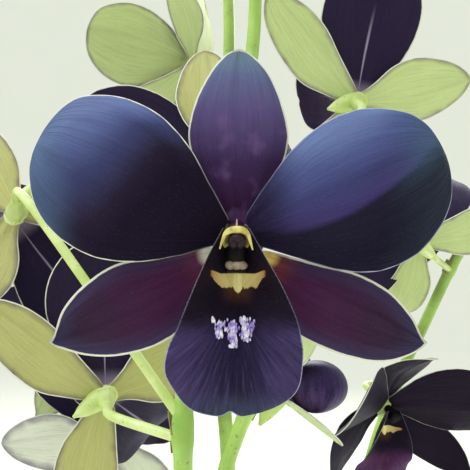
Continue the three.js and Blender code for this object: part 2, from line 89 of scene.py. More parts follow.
def smooth_line(points, count):
    """Points evenly spaced along a centripetal curve through the given points."""
    p = np.array(points, float)
    p = np.vstack([2 * p[0] - p[1], p, 2 * p[-1] - p[-2]])
    t = np.linspace(0, 1, 40, endpoint=False)[:, None]
    runs = []
    for i in range(1, len(p) - 2):
        a, b, c, d = p[i - 1:i + 3]
        before, here, after = (math.sqrt(np.linalg.norm(q - r)) for q, r in ((b, a), (c, b), (d, c)))
        start = ((b - a) / before - (c - a) / (before + here) + (c - b) / here) * here
        end = ((c - b) / here - (d - b) / (here + after) + (d - c) / after) * here
        square = 3 * (c - b) - 2 * start - end
        cube = 2 * (b - c) + start + end
        runs.append(b + start * t + square * t**2 + cube * t**3)
    dense = np.vstack(runs + [p[-2:-1]])
    length = np.concatenate([[0], np.cumsum(np.linalg.norm(np.diff(dense, axis=0), axis=1))])
    at = np.linspace(0, length[-1], count)
    return sampled(dense, length, at)


def crossways(line):
    """Two directions square to a line at each of its points, turning as little as they can."""
    along = np.gradient(line, axis=0)
    along /= np.linalg.norm(along, axis=1, keepdims=True)
    side = unit(np.cross(along[0], [0.31, 0.87, 0.38]))
    sides = []
    for direction in along:
        side = unit(side - direction * side.dot(direction))
        sides.append(side)
    sides = np.array(sides)
    return sides, np.cross(along, sides)


def ripple(points, size, seed):
    """Smooth random value of about -1 to 1 at each point; its bumps are about size across."""
    rng = np.random.default_rng(seed)
    total = np.zeros(points.shape[:-1])
    for _ in range(7):
        way = unit(rng.normal(size=3)) * 2 * np.pi / (size * rng.uniform(0.7, 1.6))
        total += np.sin(points @ way + rng.uniform(0, 2 * np.pi))
    return total / 3.5


# Bodies: closed meshes in the making.

class Body:
    """Points and faces of one piece, with what its materials read at each of them."""

    def __init__(self):
        self.points = []
        self.own = []
        self.margin = []
        self.blocks = []
        self.count = 0

    def add(self, points, faces, uv, looks, margin=None, own=None):
        """Adds one closed shell: faces and uv have a row for each face, looks a material number."""
        corner = [points[faces[:, k]] for k in range(3)]
        if np.einsum("ij,ij->i", corner[0], np.cross(corner[1], corner[2])).sum() < 0:
            faces, uv = faces[:, ::-1], uv[:, ::-1]
        self.points.append(points)
        self.own.append(points if own is None else own)
        self.margin.append(np.full(len(points), NO_MARGIN) if margin is None else margin)
        self.blocks.append((faces + self.count, uv, looks))
        self.count += len(points)


def placed(points, stand):
    """Points in a flower's own frame, moved to where the flower stands."""
    if stand is None:
        return points
    turn, at = stand
    return points @ turn.T + at


def cells(count, rows, columns):
    """Row, next row and column of each cell in the first rows of a grid, and the points at its corners."""
    row, column = np.divmod(np.arange(count * columns), columns)
    after, beside = (row + 1) % rows, (column + 1) % columns
    quads = np.stack([row * columns + column, row * columns + beside, after * columns + beside,
                      after * columns + column], axis=1)
    return row, after, column, quads


def skin(body, rings, look=0, stand=None, margin=None, looks=None, values=None):
    """Closed body over rings of points, with its ends drawn to the middle of the end rings."""
    rows, columns = rings.shape[:2]
    points = np.vstack([rings.reshape(-1, 3), rings[0].mean(0), rings[-1].mean(0)])
    row, _, column, quads = cells(rows - 1, rows, columns)
    i = np.arange(columns)
    j = (i + 1) % columns
    first = np.full(columns, rows * columns)
    end = (rows - 1) * columns
    caps = np.vstack([np.stack([first, j, i], axis=1), np.stack([first + 1, end + i, end + j], axis=1)])
    if values is None:
        along = np.linspace(0, 1, rows)
        quad_uv = np.stack([np.stack([(column + k) / columns, along[row + m]], axis=1)
                            for k, m in ((0, 0), (1, 0), (1, 1), (0, 1))], axis=1)
        cap_uv = np.zeros((2 * columns, 3, 2))
        cap_uv[:columns, :, 0] = ((i + 0.5) / columns)[:, None]
        cap_uv[columns:, :, 0] = ((i + 0.5) / columns)[:, None]
        cap_uv[columns:, :, 1] = 1
    else:
        flat = values.reshape(-1, 2)
        flat = np.vstack([flat, values[0].mean(0), values[-1].mean(0)])
        quad_uv = flat[quads]
        cap_uv = flat[caps]
    quad_looks = np.full(len(quads), look) if looks is None else looks[column]
    cap_looks = np.full(len(caps), look) if looks is None else np.concatenate([looks, looks])
    faces = np.vstack([quads, np.hstack([caps, caps[:, 2:]])])
    uv = np.concatenate([quad_uv, np.concatenate([cap_uv, cap_uv[:, 2:]], axis=1)])
    if margin is not None:
        margin = np.concatenate([margin.ravel(), [margin[0].mean(), margin[-1].mean()]])
    body.add(placed(points, stand), faces, uv, np.concatenate([quad_looks, cap_looks]), margin, points)


def border_distance(points, border):
    return np.array([np.sqrt(((border - p) ** 2).sum(1).min()) for p in points])


def plate(body, place, rows, columns, thickness, looks=(0, 1), stand=None, relief=None):
    """Thin body around the surface place(along, across); across runs from -1 to 1."""
    step = 1e-3
    angle = np.pi * np.arange(columns) / columns
    across_ring = np.concatenate([np.cos(angle), -np.cos(angle)])
    side = np.concatenate([np.ones(columns), -np.ones(columns)])
    along, across = np.meshgrid(np.linspace(0, 1, rows + 1), across_ring, indexing="ij")
    inner = np.clip(along, 0.02, 0.98)
    ahead = np.minimum(across + step, 1)
    normal = np.cross(place(inner + step, across) - place(inner - step, across),
                      place(inner, ahead) - place(inner, ahead - 2 * step))
    normal /= np.linalg.norm(normal, axis=-1, keepdims=True)
    rings = place(along, across)
    t = np.linspace(0, 1, 160)
    border = np.vstack([place(t, np.ones(160)), place(t, -np.ones(160))])
    margin = border_distance(rings.reshape(-1, 3), border).reshape(along.shape)
    offset = side * thickness / 2 * np.sqrt(1 - np.abs(across) ** 6) * np.sqrt(1 - along**12)
    if relief is not None:
        offset = offset + relief(along, across)
    rings = rings + normal * offset[..., None]
    values = np.stack([across / 2 + 0.5, share_of(along)], axis=-1)
    column_looks = np.repeat(looks, columns)
    skin(body, rings, stand=stand, margin=margin, looks=column_looks, values=values)


def tube(body, points, radii, rows, sides, look=0, stand=None, swell=None):
    """Round bar along a smooth line; its radius runs through the given values."""
    line = smooth_line(points, rows + 1)
    side, other = crossways(line)
    share = np.linspace(0, 1, rows + 1)[:, None]
    angle = 2 * np.pi * np.arange(sides)[None] / sides
    radius = through(radii, share)
    radius = radius * (1 + (0 if swell is None else swell(share, angle)))
    rings = line[:, None] + (radius * np.cos(angle))[..., None] * side[:, None] \
        + (radius * np.sin(angle))[..., None] * other[:, None]
    skin(body, rings, look, stand)


def egg(body, middle, halves, detail, look=0, stand=None, tilt=0.0, rough=0.0, seed=1):
    """Egg shape; tilt turns it about X, in radians, and rough gives it uneven sides."""
    around = 2 * np.pi * np.arange(2 * detail) / (2 * detail)
    down = np.pi * (np.arange(detail) + 0.5) / detail
    ball = np.stack([np.sin(down)[:, None] * np.cos(around), np.sin(down)[:, None] * np.sin(around),
                     np.cos(down)[:, None] + 0 * around], axis=-1)
    if rough:
        ball = ball * (1 + rough * ripple(ball, 1.2, seed))[..., None]
    points = ball * np.asarray(halves)
    y, z = points[..., 1].copy(), points[..., 2].copy()
    points[..., 1] = y * math.cos(tilt) - z * math.sin(tilt)
    points[..., 2] = y * math.sin(tilt) + z * math.cos(tilt)
    skin(body, points + np.asarray(middle), look, stand)


def add_object(name, data):
    made = bpy.data.objects.new(name, data)
    bpy.context.scene.collection.objects.link(made)
    return made


def make_piece(name, body, looks, nodes, sharp=None):
    """Turns a body into an object that stands for the given nodes."""
    faces, uvs, numbers = [], [], []
    for block, uv, look in body.blocks:
        triangle = block[:, 3] == block[:, 2]
        mirrored = block[:, 0] == block[:, 1]
        for rows, keep in ((triangle, [0, 1, 2]), (mirrored & ~triangle, [1, 2, 3]),
                           (~triangle & ~mirrored, [0, 1, 2, 3])):
            faces += block[rows][:, keep].tolist()
            uvs.append(uv[rows][:, keep].reshape(-1, 2))
            numbers.append(look[rows])
    mesh = bpy.data.meshes.new(name)
    mesh.from_pydata((np.vstack(body.points) * MM).tolist(), [], faces)
    mesh.uv_layers.new(name="UVMap").data.foreach_set("uv", np.vstack(uvs).ravel())
    mesh.attributes.new("margin", "FLOAT", "POINT").data.foreach_set("value", np.concatenate(body.margin))
    own = mesh.attributes.new("own", "FLOAT_VECTOR", "POINT")
    own.data.foreach_set("vector", np.vstack(body.own).ravel())
    for look in looks:
        mesh.materials.append(look)
    mesh.polygons.foreach_set("material_index", np.concatenate(numbers).astype(np.int32))
    mesh.polygons.foreach_set("use_smooth", np.ones(len(mesh.polygons), bool))
    mesh.update()
    if sharp:
        mesh.set_sharp_from_angle(angle=math.radians(sharp))
    piece = add_object(name, mesh)
    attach(piece, "root")
    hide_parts(*nodes)
    return piece


# Materials.

def tint(red, green, blue):
    """Linear colour from the usual 0 to 255 values."""
    parts = []
    for part in (red, green, blue):
        part /= 255
        parts.append(part / 12.92 if part <= 0.04045 else ((part + 0.055) / 1.055) ** 2.4)
    return (*parts, 1.0)


class Look:
    """A procedural material, put together node by node."""

    def __init__(self, name, roughness=0.5, **settings):
        self.material = bpy.data.materials.new(name)
        self.material.use_nodes = True
        self.tree = self.material.node_tree
        self.shader = self.tree.nodes["Principled BSDF"]
        self.shader.inputs["Roughness"].default_value = roughness
        for key, value in settings.items():
            self.shader.inputs[key.replace("_", " ").title().replace("Ior", "IOR")].default_value = value

    def put(self, socket, value):
        if isinstance(value, bpy.types.NodeSocket):
            self.tree.links.new(value, socket)
        else:
            socket.default_value = value

    def node(self, kind, inputs=None, **options):
        made = self.tree.nodes.new("ShaderNode" + kind)
        for option, value in options.items():
            setattr(made, option, value)
        for key, value in (inputs or {}).items():
            self.put(made.inputs[key], value)
        return made

    def math(self, operation, a, b=0.0, c=0.0):
        return self.node("Math", {0: a, 1: b, 2: c}, operation=operation).outputs[0]

    def times(self, a, b):
        return self.math("MULTIPLY", a, b)

    def scaled(self, value, factor, plus):
        return self.math("MULTIPLY_ADD", value, factor, plus)

    def less(self, a, b):
        return self.math("SUBTRACT", a, b)

    def off(self, value, middle):
        """How far the value is from the middle, on either side."""
        return self.math("ABSOLUTE", self.less(value, middle))

    def mix(self, share, a, b, blend="MIX"):
        made = self.node("Mix", data_type="RGBA", blend_type=blend)
        for index, value in ((0, share), (6, a), (7, b)):
            self.put(made.inputs[index], value)
        return made.outputs[2]

    def step(self, value, low, high, start=0.0, end=1.0):
        """Goes smoothly from start to end as the value goes from low to high."""
        return self.node("MapRange", {0: value, 1: low, 2: high, 3: start, 4: end},
                         interpolation_type="SMOOTHSTEP").outputs[0]

    def noise(self, vector, scale, detail=2.0, rough=0.5):
        inputs = {"Vector": vector, "Scale": scale, "Detail": detail, "Roughness": rough}
        return self.node("TexNoise", inputs).outputs[0]

    def stretched(self, vector, x, y, z):
        return self.node("Mapping", {"Vector": vector, "Scale": (x, y, z)}).outputs[0]

    def lines(self, vector, across, along, detail, rough=0.5):
        """Noise drawn out into lines: so many across and along the whole."""
        return self.noise(self.stretched(vector, across, along, 1.0), 1.0, detail, rough)

    def uv(self):
        """The UV map's vector, across and along."""
        vector = self.node("UVMap", uv_map="UVMap").outputs[0]
        split = self.node("SeparateXYZ", {0: vector})
        return vector, split.outputs[0], split.outputs[1]

    def own(self):
        """The place in the flower's own frame, in millimetres."""
        vector = self.node("Attribute", attribute_name="own").outputs["Vector"]
        split = self.node("SeparateXYZ", {0: vector})
        return vector, split.outputs[0], split.outputs[1], split.outputs[2]

    def margin(self):
        return self.node("Attribute", attribute_name="margin").outputs["Fac"]

    def place(self):
        return self.node("TexCoord").outputs["Object"]

    def away(self, x, z, spot):
        """Distance in the flower's face from a spot, in millimetres."""
        here = self.node("CombineXYZ", {0: x, 2: z}).outputs[0]
        distance = self.node("VectorMath", {0: here, 1: (spot[0], 0, spot[1])}, operation="DISTANCE")
        return distance.outputs["Value"]

    def around(self, x, z, high):
        """Angle and distance about the point of the midline at a height, as a vector."""
        down = self.less(high, z)
        turn = self.math("ARCTAN2", x, down)
        return self.node("CombineXYZ", {0: turn, 1: self.away(x, z, (0, high))}).outputs[0]

    def shades(self, value, stops):
        """Colours by a value in millimetres: each stop gives a value and its colour."""
        low, high = stops[0][0], stops[-1][0]
        share = self.node("MapRange", {0: value, 1: low, 2: high}).outputs[0]
        return self.ramp(share, [((at - low) / (high - low), *colour) for at, *colour in stops])

    def ramp(self, value, stops):
        made = self.node("ValToRGB", {0: value})
        marks = made.color_ramp.elements
        while len(marks) < len(stops):
            marks.new(0.5)
        for mark, (position, *colour) in zip(marks, stops):
            mark.position = position
            mark.color = tint(*colour)
        return made.outputs[0]

    def finish(self, colour, height=None, depth=0.1, rough=None):
        """Sets the colour, the bump from a height, with its depth in millimetres, and the roughness."""
        self.put(self.shader.inputs["Base Color"], colour)
        if height is not None:
            bump = self.node("Bump", {"Height": height, "Distance": depth * MM, "Strength": 1.0})
            self.put(self.shader.inputs["Normal"], bump.outputs[0])
        if rough is not None:
            self.put(self.shader.inputs["Roughness"], rough)
        return self.material


# Pale margin colour: partly the tepals' own pale edge, partly painted glow of the backlight through the thin
# margin.
BACKLIT_RIM = tint(236, 234, 216)
VIOLET = tint(120, 112, 235)
PLUM = tint(205, 120, 215)


def flower_look(name, colour_of, rim=0.26, veins=26.0, roughness=0.5, gloss=0.16, gloss_tint=VIOLET,
                rim_glow_colour=BACKLIT_RIM, bare=0.1, fan=None, folds=0.35):
    """Skin of a tepal: colour_of gives the colour; veins, folds, fine grain, lilac specks of painted sparkle
    and a pale rim lie over it; the rim is partly the margin's own pale edge and partly painted glow of the
    backlight through it.

    The rim fades below the share bare of the length. With fan, the veins spread from that height.
    """
    look = Look(name, roughness, specular_ior_level=gloss, specular_tint=gloss_tint, sheen_weight=0.05,
                sheen_roughness=0.4, sheen_tint=VIOLET)
    vector, across, along = look.uv()
    own, x, _, z = look.own()
    if fan is None:
        streak = look.lines(vector, 2 * veins, 3.0, 3.0, 0.6)
        fold = look.lines(vector, 0.5 * veins, 1.8, 2.0, 0.5)
    else:
        spread = look.around(x, z, fan)
        streak = look.lines(spread, veins, 0.12, 3.0, 0.65)
        fold = look.lines(spread, 0.3 * veins, 0.05, 2.0, 0.5)
    cells = look.noise(own, 4.5, 2.0, 0.6)
    look.across, look.along, look.x, look.z, look.streak = across, along, x, z, streak
    colour = colour_of(look)
    shade = look.times(look.scaled(streak, 0.42, 0.8), look.scaled(fold, folds, 1 - folds / 2))
    shade = look.times(shade, look.scaled(cells, 0.3, 0.86))
    grey = look.node("CombineColor", {0: shade, 1: shade, 2: shade}).outputs[0]
    colour = look.mix(1.0, colour, grey, "MULTIPLY")
    # painted sparkle: lilac specks stand in for glints off the surface cells
    specks = look.step(cells, 0.6, 0.75, 0.0, 0.12)
    colour = look.mix(specks, colour, tint(130, 122, 190))
    # pale rim: partly the margin's own pale edge, partly painted backlit glow
    width = look.scaled(look.noise(own, 0.7), 0.5 * rim, 0.75 * rim)
    edge = look.less(look.margin(), width)
    rim_share = look.times(look.step(edge, -0.05, 0.1, 1.0, 0.0),
                           look.step(along, bare - 0.1, bare + 0.1, 0.25, 1.0))
    colour = look.mix(rim_share, colour, rim_glow_colour)
    height = look.math("ADD", look.times(streak, 0.8), look.times(cells, 0.25))
    return look.finish(colour, height, 0.3)


def petal_left_colour(look):
    """Indigo above a fold that slants down from the upper margin, nearly black below it: the indigo is
    painted sky sheen on the upward-facing part.
    """
    steep = look.scaled(look.x, -1.15, look.less(look.z, 29.4))
    level = look.scaled(look.x, -0.37, look.less(look.z, 11.2))
    above = look.math("SMOOTH_MIN", steep, level, 4.0)
    # painted sheen: lighter where the upper margin curls back towards the sky
    curl = look.times(look.step(look.margin(), 4.5, 0.0), look.step(look.z, 5.0, 12.0, 0.0, 7.0))
    above = look.math("ADD", above, curl)
    colour = look.shades(above, [(-7, 26, 18, 27), (-1, 36, 29, 42), (3, 50, 48, 76),
                                 (8, 60, 64, 104), (14, 86, 96, 142), (19, 102, 116, 160)])
    # painted sheen: blue-grey towards the tip
    return look.mix(look.step(look.x, -26.0, -35.0, 0.0, 0.6), colour, tint(82, 104, 134))


def petal_right_colour(look):
    """Indigo above the crease along its middle, nearly black below it, greyer towards the tip: the indigo and
    the greyer tip are painted sky sheen.
    """
    bow = look.less(look.x, 6.0)
    crease = look.scaled(look.times(bow, bow), 0.019, -0.9)
    above = look.less(look.z, crease)
    colour = look.shades(above, [(-8, 26, 23, 32), (-0.6, 32, 28, 40), (0.6, 62, 52, 98),
                                 (5, 62, 62, 106), (10, 80, 88, 138), (15, 104, 120, 164)])
    colour = look.mix(look.step(look.x, 12.0, 4.0, 0.0, 0.85), colour, tint(34, 24, 42))
    # painted sheen at the tip: blue-grey above the crease, grey below it
    outer = look.mix(look.step(above, -5.0, 2.0), tint(42, 50, 60), tint(74, 102, 126))
    return look.mix(look.step(look.x, 24.0, 37.0, 0.0, 0.75), colour, outer)


def dorsal_colour(look):
    """Plum at its foot, then dusky violet, and slate blue at its tip, with a few paler clouds; the lighter
    violet and slate blue towards the tip are partly painted sky sheen.
    """
    colour = look.ramp(look.along, [(0.0, 50, 18, 42), (0.35, 62, 42, 78), (0.65, 92, 80, 126),
                               (0.85, 100, 108, 146), (1.0, 122, 146, 166)])
    cloud = look.noise(look.own()[0], 0.22, 2.0)
    return look.mix(look.step(cloud, 0.5, 0.72, 0.0, 0.5), colour, tint(112, 84, 134))


def lateral_colour(foot, warm, spot):
    """Plum lateral sepal, warmer near its foot, with a pale spot where it meets the lip."""
    def colour_of(look):
        colour = look.ramp(look.along, [(0.0, 84, 40, 64), (0.3, 72, 34, 68), (0.65, 56, 36, 58),
                                   (1.0, 42, 36, 46)])
        blue = look.step(look.margin(), 4.0, 0.4, 0.0, 0.55)
        colour = look.mix(blue, colour, tint(66, 66, 100))
        from_foot = look.away(look.x, look.z, foot)
        colour = look.mix(look.step(from_foot, 7.0, 1.5, 0.0, 0.8), colour, warm)
        return look.mix(look.step(from_foot, 2.8, 1.0), colour, spot)
    return colour_of


def dark_face_looks():
    """Fronts of the tepals: nearly black, blue-violet where they catch the sky."""
    def dusk(look):
        return look.mix(look.streak, tint(26, 20, 24), tint(46, 36, 44))
    return {
        "dorsal_sepal": flower_look("dorsal_face", dorsal_colour, rim=0.32),
        "petal_left": flower_look("petal_left_face", petal_left_colour, rim=0.2, bare=0.25),
        "petal_right": flower_look("petal_right_face", petal_right_colour, rim=0.18, bare=0.25,
                                   rim_glow_colour=tint(176, 178, 204)),
        "sepal_left": flower_look("sepal_left_face",
                                  lateral_colour((-4.6, -4.6), tint(118, 60, 88), tint(255, 250, 226)),
                                  rim=0.42, gloss_tint=PLUM, folds=0.8),
        "sepal_right": flower_look("sepal_right_face",
                                   lateral_colour((5.6, -4.7), tint(130, 62, 48), tint(255, 220, 120)),
                                   rim=0.42, gloss_tint=PLUM, folds=0.8),
        "dusk": flower_look("dusk_face", dusk, rim=0.22),
    }


def sepal_back_look(name, pale, dusky, reach):
    """Back of a sepal: pale in the middle, dusky purple towards its margin, with thin veins; the pale middle
    is partly its own colour and partly painted glow of the backlight shining through.
    """
    def colour_of(look):
        inward = look.scaled(look.noise(look.own()[0], 0.25), 0.8 * reach, look.margin())
        colour = look.mix(look.step(inward, 0.3 * reach, 1.3 * reach), dusky, pale)
        return look.mix(look.step(look.streak, 0.56, 0.7, 0.0, 0.4), colour, dusky)
    return flower_look(name, colour_of, roughness=0.55, gloss=0.3, gloss_tint=tint(255, 255, 255))


def petal_back_look(name, dark, middle):
    """Back of a petal: dark, with a thin light line down its middle that fades out."""
    def colour_of(look):
        off = look.off(look.across, 0.5)
        line = look.times(look.step(off, 0.006, 0.018, 0.75, 0.0), look.step(look.along, 0.7, 0.35, 0.0, 1.0))
        colour = look.mix(line, dark, middle)
        return look.mix(look.step(look.along, 0.14, 0.0), colour, middle)
    return flower_look(name, colour_of, roughness=0.55)


def lip_look(name, lobe_colour=None):
    """The lip: a yellow band in the throat, dark walls, and a blue-violet front lobe with fanned veins."""
    def colour_of(look):
        off = look.off(look.across, 0.5)
        lobe = look.mix(look.step(off, 0.04, 0.42), tint(34, 28, 48), tint(64, 53, 90))
        lobe = look.mix(look.step(look.along, 0.82, 1.0), lobe, tint(58, 62, 82))
        if lobe_colour is not None:
            lobe = look.mix(0.6, lobe, lobe_colour)
        lobe = look.mix(look.step(look.streak, 0.5, 0.7, 0.0, 0.22), lobe, tint(104, 90, 146))
        lobe = look.mix(look.step(look.streak, 0.46, 0.34, 0.0, 0.38), lobe, tint(28, 20, 34))
        wavy = look.scaled(look.noise(look.own()[0], 0.3), 0.12, look.along)
        colour = look.mix(look.step(wavy, 0.5, 0.66), tint(27, 19, 22), lobe)
        share, band = throat_band(look)
        return look.mix(share, colour, band)
    return flower_look(name, colour_of, rim=0.15, bare=0.58, folds=0.2, veins=22.0, roughness=0.45,
                       fan=-13.0, rim_glow_colour=tint(168, 164, 196))


def throat_band(look):
    """How much of the yellow band shows, and its colour: a ragged crescent with two horns and a tongue."""
    ragged = look.noise(look.stretched(look.own()[0], 1.3, 0.2, 0.25), 1.0, 3.0, 0.7)
    aside = look.off(look.x, 0.3)
    horn = look.step(aside, 2.7, 4.6)
    top = look.scaled(horn, 0.7, -7.8)
    low = look.scaled(horn, 1.9, look.scaled(ragged, 1.9, -11.2))
    low = look.math("ADD", low, look.step(aside, 0.85, 0.3, 0.0, -0.8))
    band = look.times(look.step(look.less(look.z, low), -0.12, 0.15),
                      look.step(look.less(top, look.z), -0.1, 0.12))
    band = look.times(band, look.step(aside, 4.4, 4.8, 1.0, 0.0))
    brown = look.times(look.step(look.z, -13.8, -10.4), look.step(aside, 0.6, 3.4, 0.75, 0.0))
    brown = look.times(brown, look.step(look.z, -7.4, -8.4))
    yellow = look.shades(aside, [(0, 255, 246, 172), (0.5, 252, 242, 164), (0.9, 226, 206, 134),
                                 (3, 216, 192, 128), (4.2, 192, 150, 92), (4.8, 120, 66, 42)])
    share = look.math("MAXIMUM", band, brown)
    return share, look.mix(band, tint(96, 62, 36), yellow)


def stem_look(name, light, dark, fleck, scale=1.0, low=None):
    """Green stem with faint lines along it and a few reddish flecks; low is its colour near the canes."""
    look = Look(name, 0.42, specular_ior_level=0.5, coat_weight=0.15, coat_roughness=0.3)
    vector = look.uv()[0]
    place = look.place()
    lines = look.lines(vector, 26.0, 2.0, 2.0)
    blotch = look.noise(place, 60.0 * scale, 3.0, 0.6)
    colour = look.mix(look.step(blotch, 0.3, 0.7), dark, light)
    colour = look.mix(look.step(lines, 0.5, 0.75, 0.0, 0.45), colour, dark)
    if low is not None:
        height = look.node("SeparateXYZ", {0: place}).outputs[2]
        colour = look.mix(look.step(height, 0.5, 0.36, 0.0, 0.8), colour, low)
    flecks = look.step(look.noise(place, 900.0 * scale, 1.0), 0.68, 0.76, 0.0, 0.6)
    colour = look.mix(flecks, colour, fleck)
    return look.finish(colour, look.math("ADD", lines, look.noise(place, 700.0)), 0.12)


def ovary_look():
    """Green like the pedicel behind, and dark plum in front, where the tepals meet."""
    look = Look("ovary_skin", 0.5, specular_ior_level=0.3)
    own, _, y, _ = look.own()
    mottle = look.noise(own, 0.9, 3.0, 0.6)
    green = look.mix(look.step(mottle, 0.35, 0.7), tint(190, 212, 116), tint(228, 240, 168))
    dark = look.mix(look.step(mottle, 0.35, 0.7), tint(30, 18, 28), tint(60, 32, 50))
    return look.finish(look.mix(look.step(y, 5.6, 7.6), dark, green), mottle, 0.12)


def bud_look(name, foot, foot_light):
    look = Look(name, 0.4, sheen_weight=0.06, sheen_tint=VIOLET, specular_ior_level=0.3, specular_tint=VIOLET)
    vector, _, along = look.uv()
    lines = look.lines(vector, 30.0, 2.5, 3.0)
    purple = look.mix(look.step(lines, 0.35, 0.7), tint(40, 28, 52), tint(78, 58, 96))
    colour = look.mix(look.step(along, 0.3, 0.62), look.mix(lines, foot, foot_light), purple)
    # painted sparkle: pale specks stand in for glints on the skin
    specks = look.step(look.noise(look.place(), 2500.0), 0.6, 0.75, 0.0, 0.2)
    return look.finish(look.mix(specks, colour, tint(130, 120, 170)), lines, 0.15)


def plain_look(name, light, dark, scale, roughness, depth=0.1, **settings):
    """Fleshy surface with mottling and fine bumps."""
    look = Look(name, roughness, **settings)
    place = look.place()
    mottle = look.noise(place, scale, 3.0, 0.6)
    fine = look.noise(place, 6 * scale, 2.0, 0.6)
    colour = look.mix(look.step(mottle, 0.35, 0.68), dark, light)
    return look.finish(look.mix(look.step(fine, 0.6, 0.8, 0.0, 0.35), colour, light), fine, depth)


def leaf_look(name, light, dark):
    look = Look(name, 0.38, specular_ior_level=0.5, coat_weight=0.12, coat_roughness=0.25)
    vector, across, along = look.uv()
    lines = look.lines(vector, 60.0, 1.6, 2.0)
    blotch = look.noise(look.place(), 45.0, 4.0, 0.6)
    colour = look.mix(look.step(blotch, 0.3, 0.75), dark, light)
    colour = look.mix(look.step(lines, 0.5, 0.7, 0.0, 0.4), colour, dark)
    off = look.off(across, 0.5)
    colour = look.mix(look.step(off, 0.004, 0.02, 0.55, 0.0), colour, light)
    tip = look.math("ADD", along, look.times(blotch, 0.06))
    colour = look.mix(look.step(tip, 0.985, 1.01), colour, tint(146, 112, 60))
    colour = look.mix(look.step(look.margin(), 0.25, 0.6, 0.5, 0.0), colour, light)
    return look.finish(colour, lines, 0.25)


def cane_look():
    look = Look("cane_skin", 0.45, specular_ior_level=0.45, coat_weight=0.1, coat_roughness=0.3)
    vector, _, along = look.uv()
    lines = look.lines(vector, 40.0, 5.0, 3.0)
    blotch = look.noise(look.place(), 55.0, 4.0, 0.65)
    green = look.mix(look.step(blotch, 0.35, 0.7), tint(104, 122, 52), tint(158, 166, 84))
    colour = look.mix(look.step(lines, 0.52, 0.72, 0.0, 0.5), green, tint(84, 96, 44))
    colour = look.mix(look.step(along, 0.12, 0.0, 0.0, 0.8), colour, tint(120, 88, 52))
    return look.finish(colour, lines, 0.4)


def husk_look():
    """Dry papery sheath."""
    look = Look("papery_husk", 0.75)
    vector = look.uv()[0]
    lines = look.lines(vector, 50.0, 2.0, 4.0, 0.7)
    blotch = look.noise(look.place(), 120.0, 4.0, 0.7)
    colour = look.mix(lines, tint(132, 108, 74), tint(206, 190, 150))
    colour = look.mix(look.step(blotch, 0.58, 0.75, 0.0, 0.7), colour, tint(92, 70, 48))
    return look.finish(colour, lines, 0.4)


def bark_look(name, light, dark):
    look = Look(name, 0.9)
    place = look.place()
    grain = look.noise(look.stretched(place, 500.0, 180.0, 180.0), 1.0, 5.0, 0.7)
    patch = look.noise(place, 90.0, 3.0, 0.6)
    colour = look.mix(look.step(grain, 0.3, 0.7), dark, light)
    colour = look.mix(look.step(patch, 0.55, 0.75, 0.0, 0.6), colour, tint(128, 96, 66))
    return look.finish(colour, grain, 0.8)


def clay_look():
    """Plain fired clay with darker grit and a little pale bloom low down."""
    look = Look("fired_clay", 0.85, specular_ior_level=0.3)
    place = look.place()
    height = look.node("SeparateXYZ", {0: place}).outputs[2]
    cloud = look.noise(place, 28.0, 5.0, 0.6)
    grit = look.noise(place, 900.0, 3.0, 0.7)
    rings = look.noise(look.stretched(place, 3.0, 3.0, 420.0), 1.0, 3.0, 0.6)
    colour = look.mix(look.step(cloud, 0.3, 0.7), tint(160, 88, 58), tint(190, 116, 80))
    colour = look.mix(look.step(grit, 0.6, 0.75, 0.0, 0.5), colour, tint(122, 66, 46))
    bloom = look.times(look.step(height, 0.085, 0.0), look.step(cloud, 0.45, 0.62))
    colour = look.mix(look.times(bloom, 0.6), colour, tint(214, 190, 168))
    height_map = look.math("ADD", look.times(rings, 0.6), look.times(grit, 0.4))
    return look.finish(colour, height_map, 0.35)


# The flower in its own frame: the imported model's outlines, a little fuller at the left sepal's foot.

TEPALS = {
    "dorsal_sepal": dict(
        base=(0.2, 0.8), tip=(0.5, 31.9), depth=(4.6, 3.9, 5.0), edge=1.1,
        first=(2.4, 2.6, 4.0, 7.3, 8.8, 7.6, 5.3, 2.6, 0),
        second=(2.4, 2.6, 4.3, 7.6, 9.0, 7.7, 5.5, 2.6, 0)),
    "petal_left": dict(
        base=(-2.5, -0.8), tip=(-34.8, 14.7), depth=(3.3, -1.4, 2.4), edge=2.2,
        first=(2.4, 3.5, 7.0, 10.9, 13.2, 12.8, 10.3, 5.6, 0),
        second=(2.6, 3.7, 6.5, 10.7, 13.5, 13.9, 11.9, 8.0, 0)),
    "petal_right": dict(
        base=(2.7, -0.8), tip=(36.3, 13.0), depth=(3.3, -1.4, 2.2), edge=2.2,
        first=(2.6, 3.9, 6.7, 10.3, 12.6, 12.7, 10.3, 6.6, 0),
        second=(2.4, 3.5, 6.8, 11.6, 14.5, 14.2, 11.3, 6.6, 0)),
    "sepal_left": dict(
        base=(-3.3, -5.8), tip=(-33.4, -20.4), depth=(4.9, 4.0, 5.6), edge=0.9,
        first=(2.2, 3.1, 5.2, 8.0, 8.8, 7.6, 5.0, 1.9, 0),
        second=(2.6, 3.5, 4.4, 5.8, 7.3, 6.6, 4.3, 0.8, 0)),
    "sepal_right": dict(
        base=(3.5, -5.9), tip=(34.2, -20.4), depth=(4.9, 4.0, 5.6), edge=0.9,
        first=(2.0, 2.7, 3.4, 4.4, 5.7, 5.4, 3.3, 0.5, 0),
        second=(2.2, 3.2, 5.5, 8.4, 8.9, 8.1, 6.1, 2.6, 0)),
}

LIP = dict(
    length=32.0,
    first=(2.2, 2.9, 4.8, 7.7, 10.3, 11.2, 10.0, 6.2, 0),
    second=(2.2, 2.9, 4.7, 7.0, 9.5, 11.9, 10.7, 7.3, 0),
    floor=(1.9, 1.9, 1.9, 1.2, -2.0, -3.4, -2.8, -1.6, -1.2),
    rim=(-1.4, -2.1, -3.6, -4.6, -4.6, -3.4, -2.2, -1.4, -1.2),
    lift=(4.6, 4.4, 2.4, 0.8, 0, 0, 0, 0, 0),
)

OVARY_END = (0, 12.5, -1.5)
PEDICEL_RADII = (1.15, 1.15, 1.15)


def half_width(outline, along, across):
    """How far to the side a point lies; the first side is where across is positive."""
    return np.where(across > 0, through(outline["first"], along), through(outline["second"], along)) * across

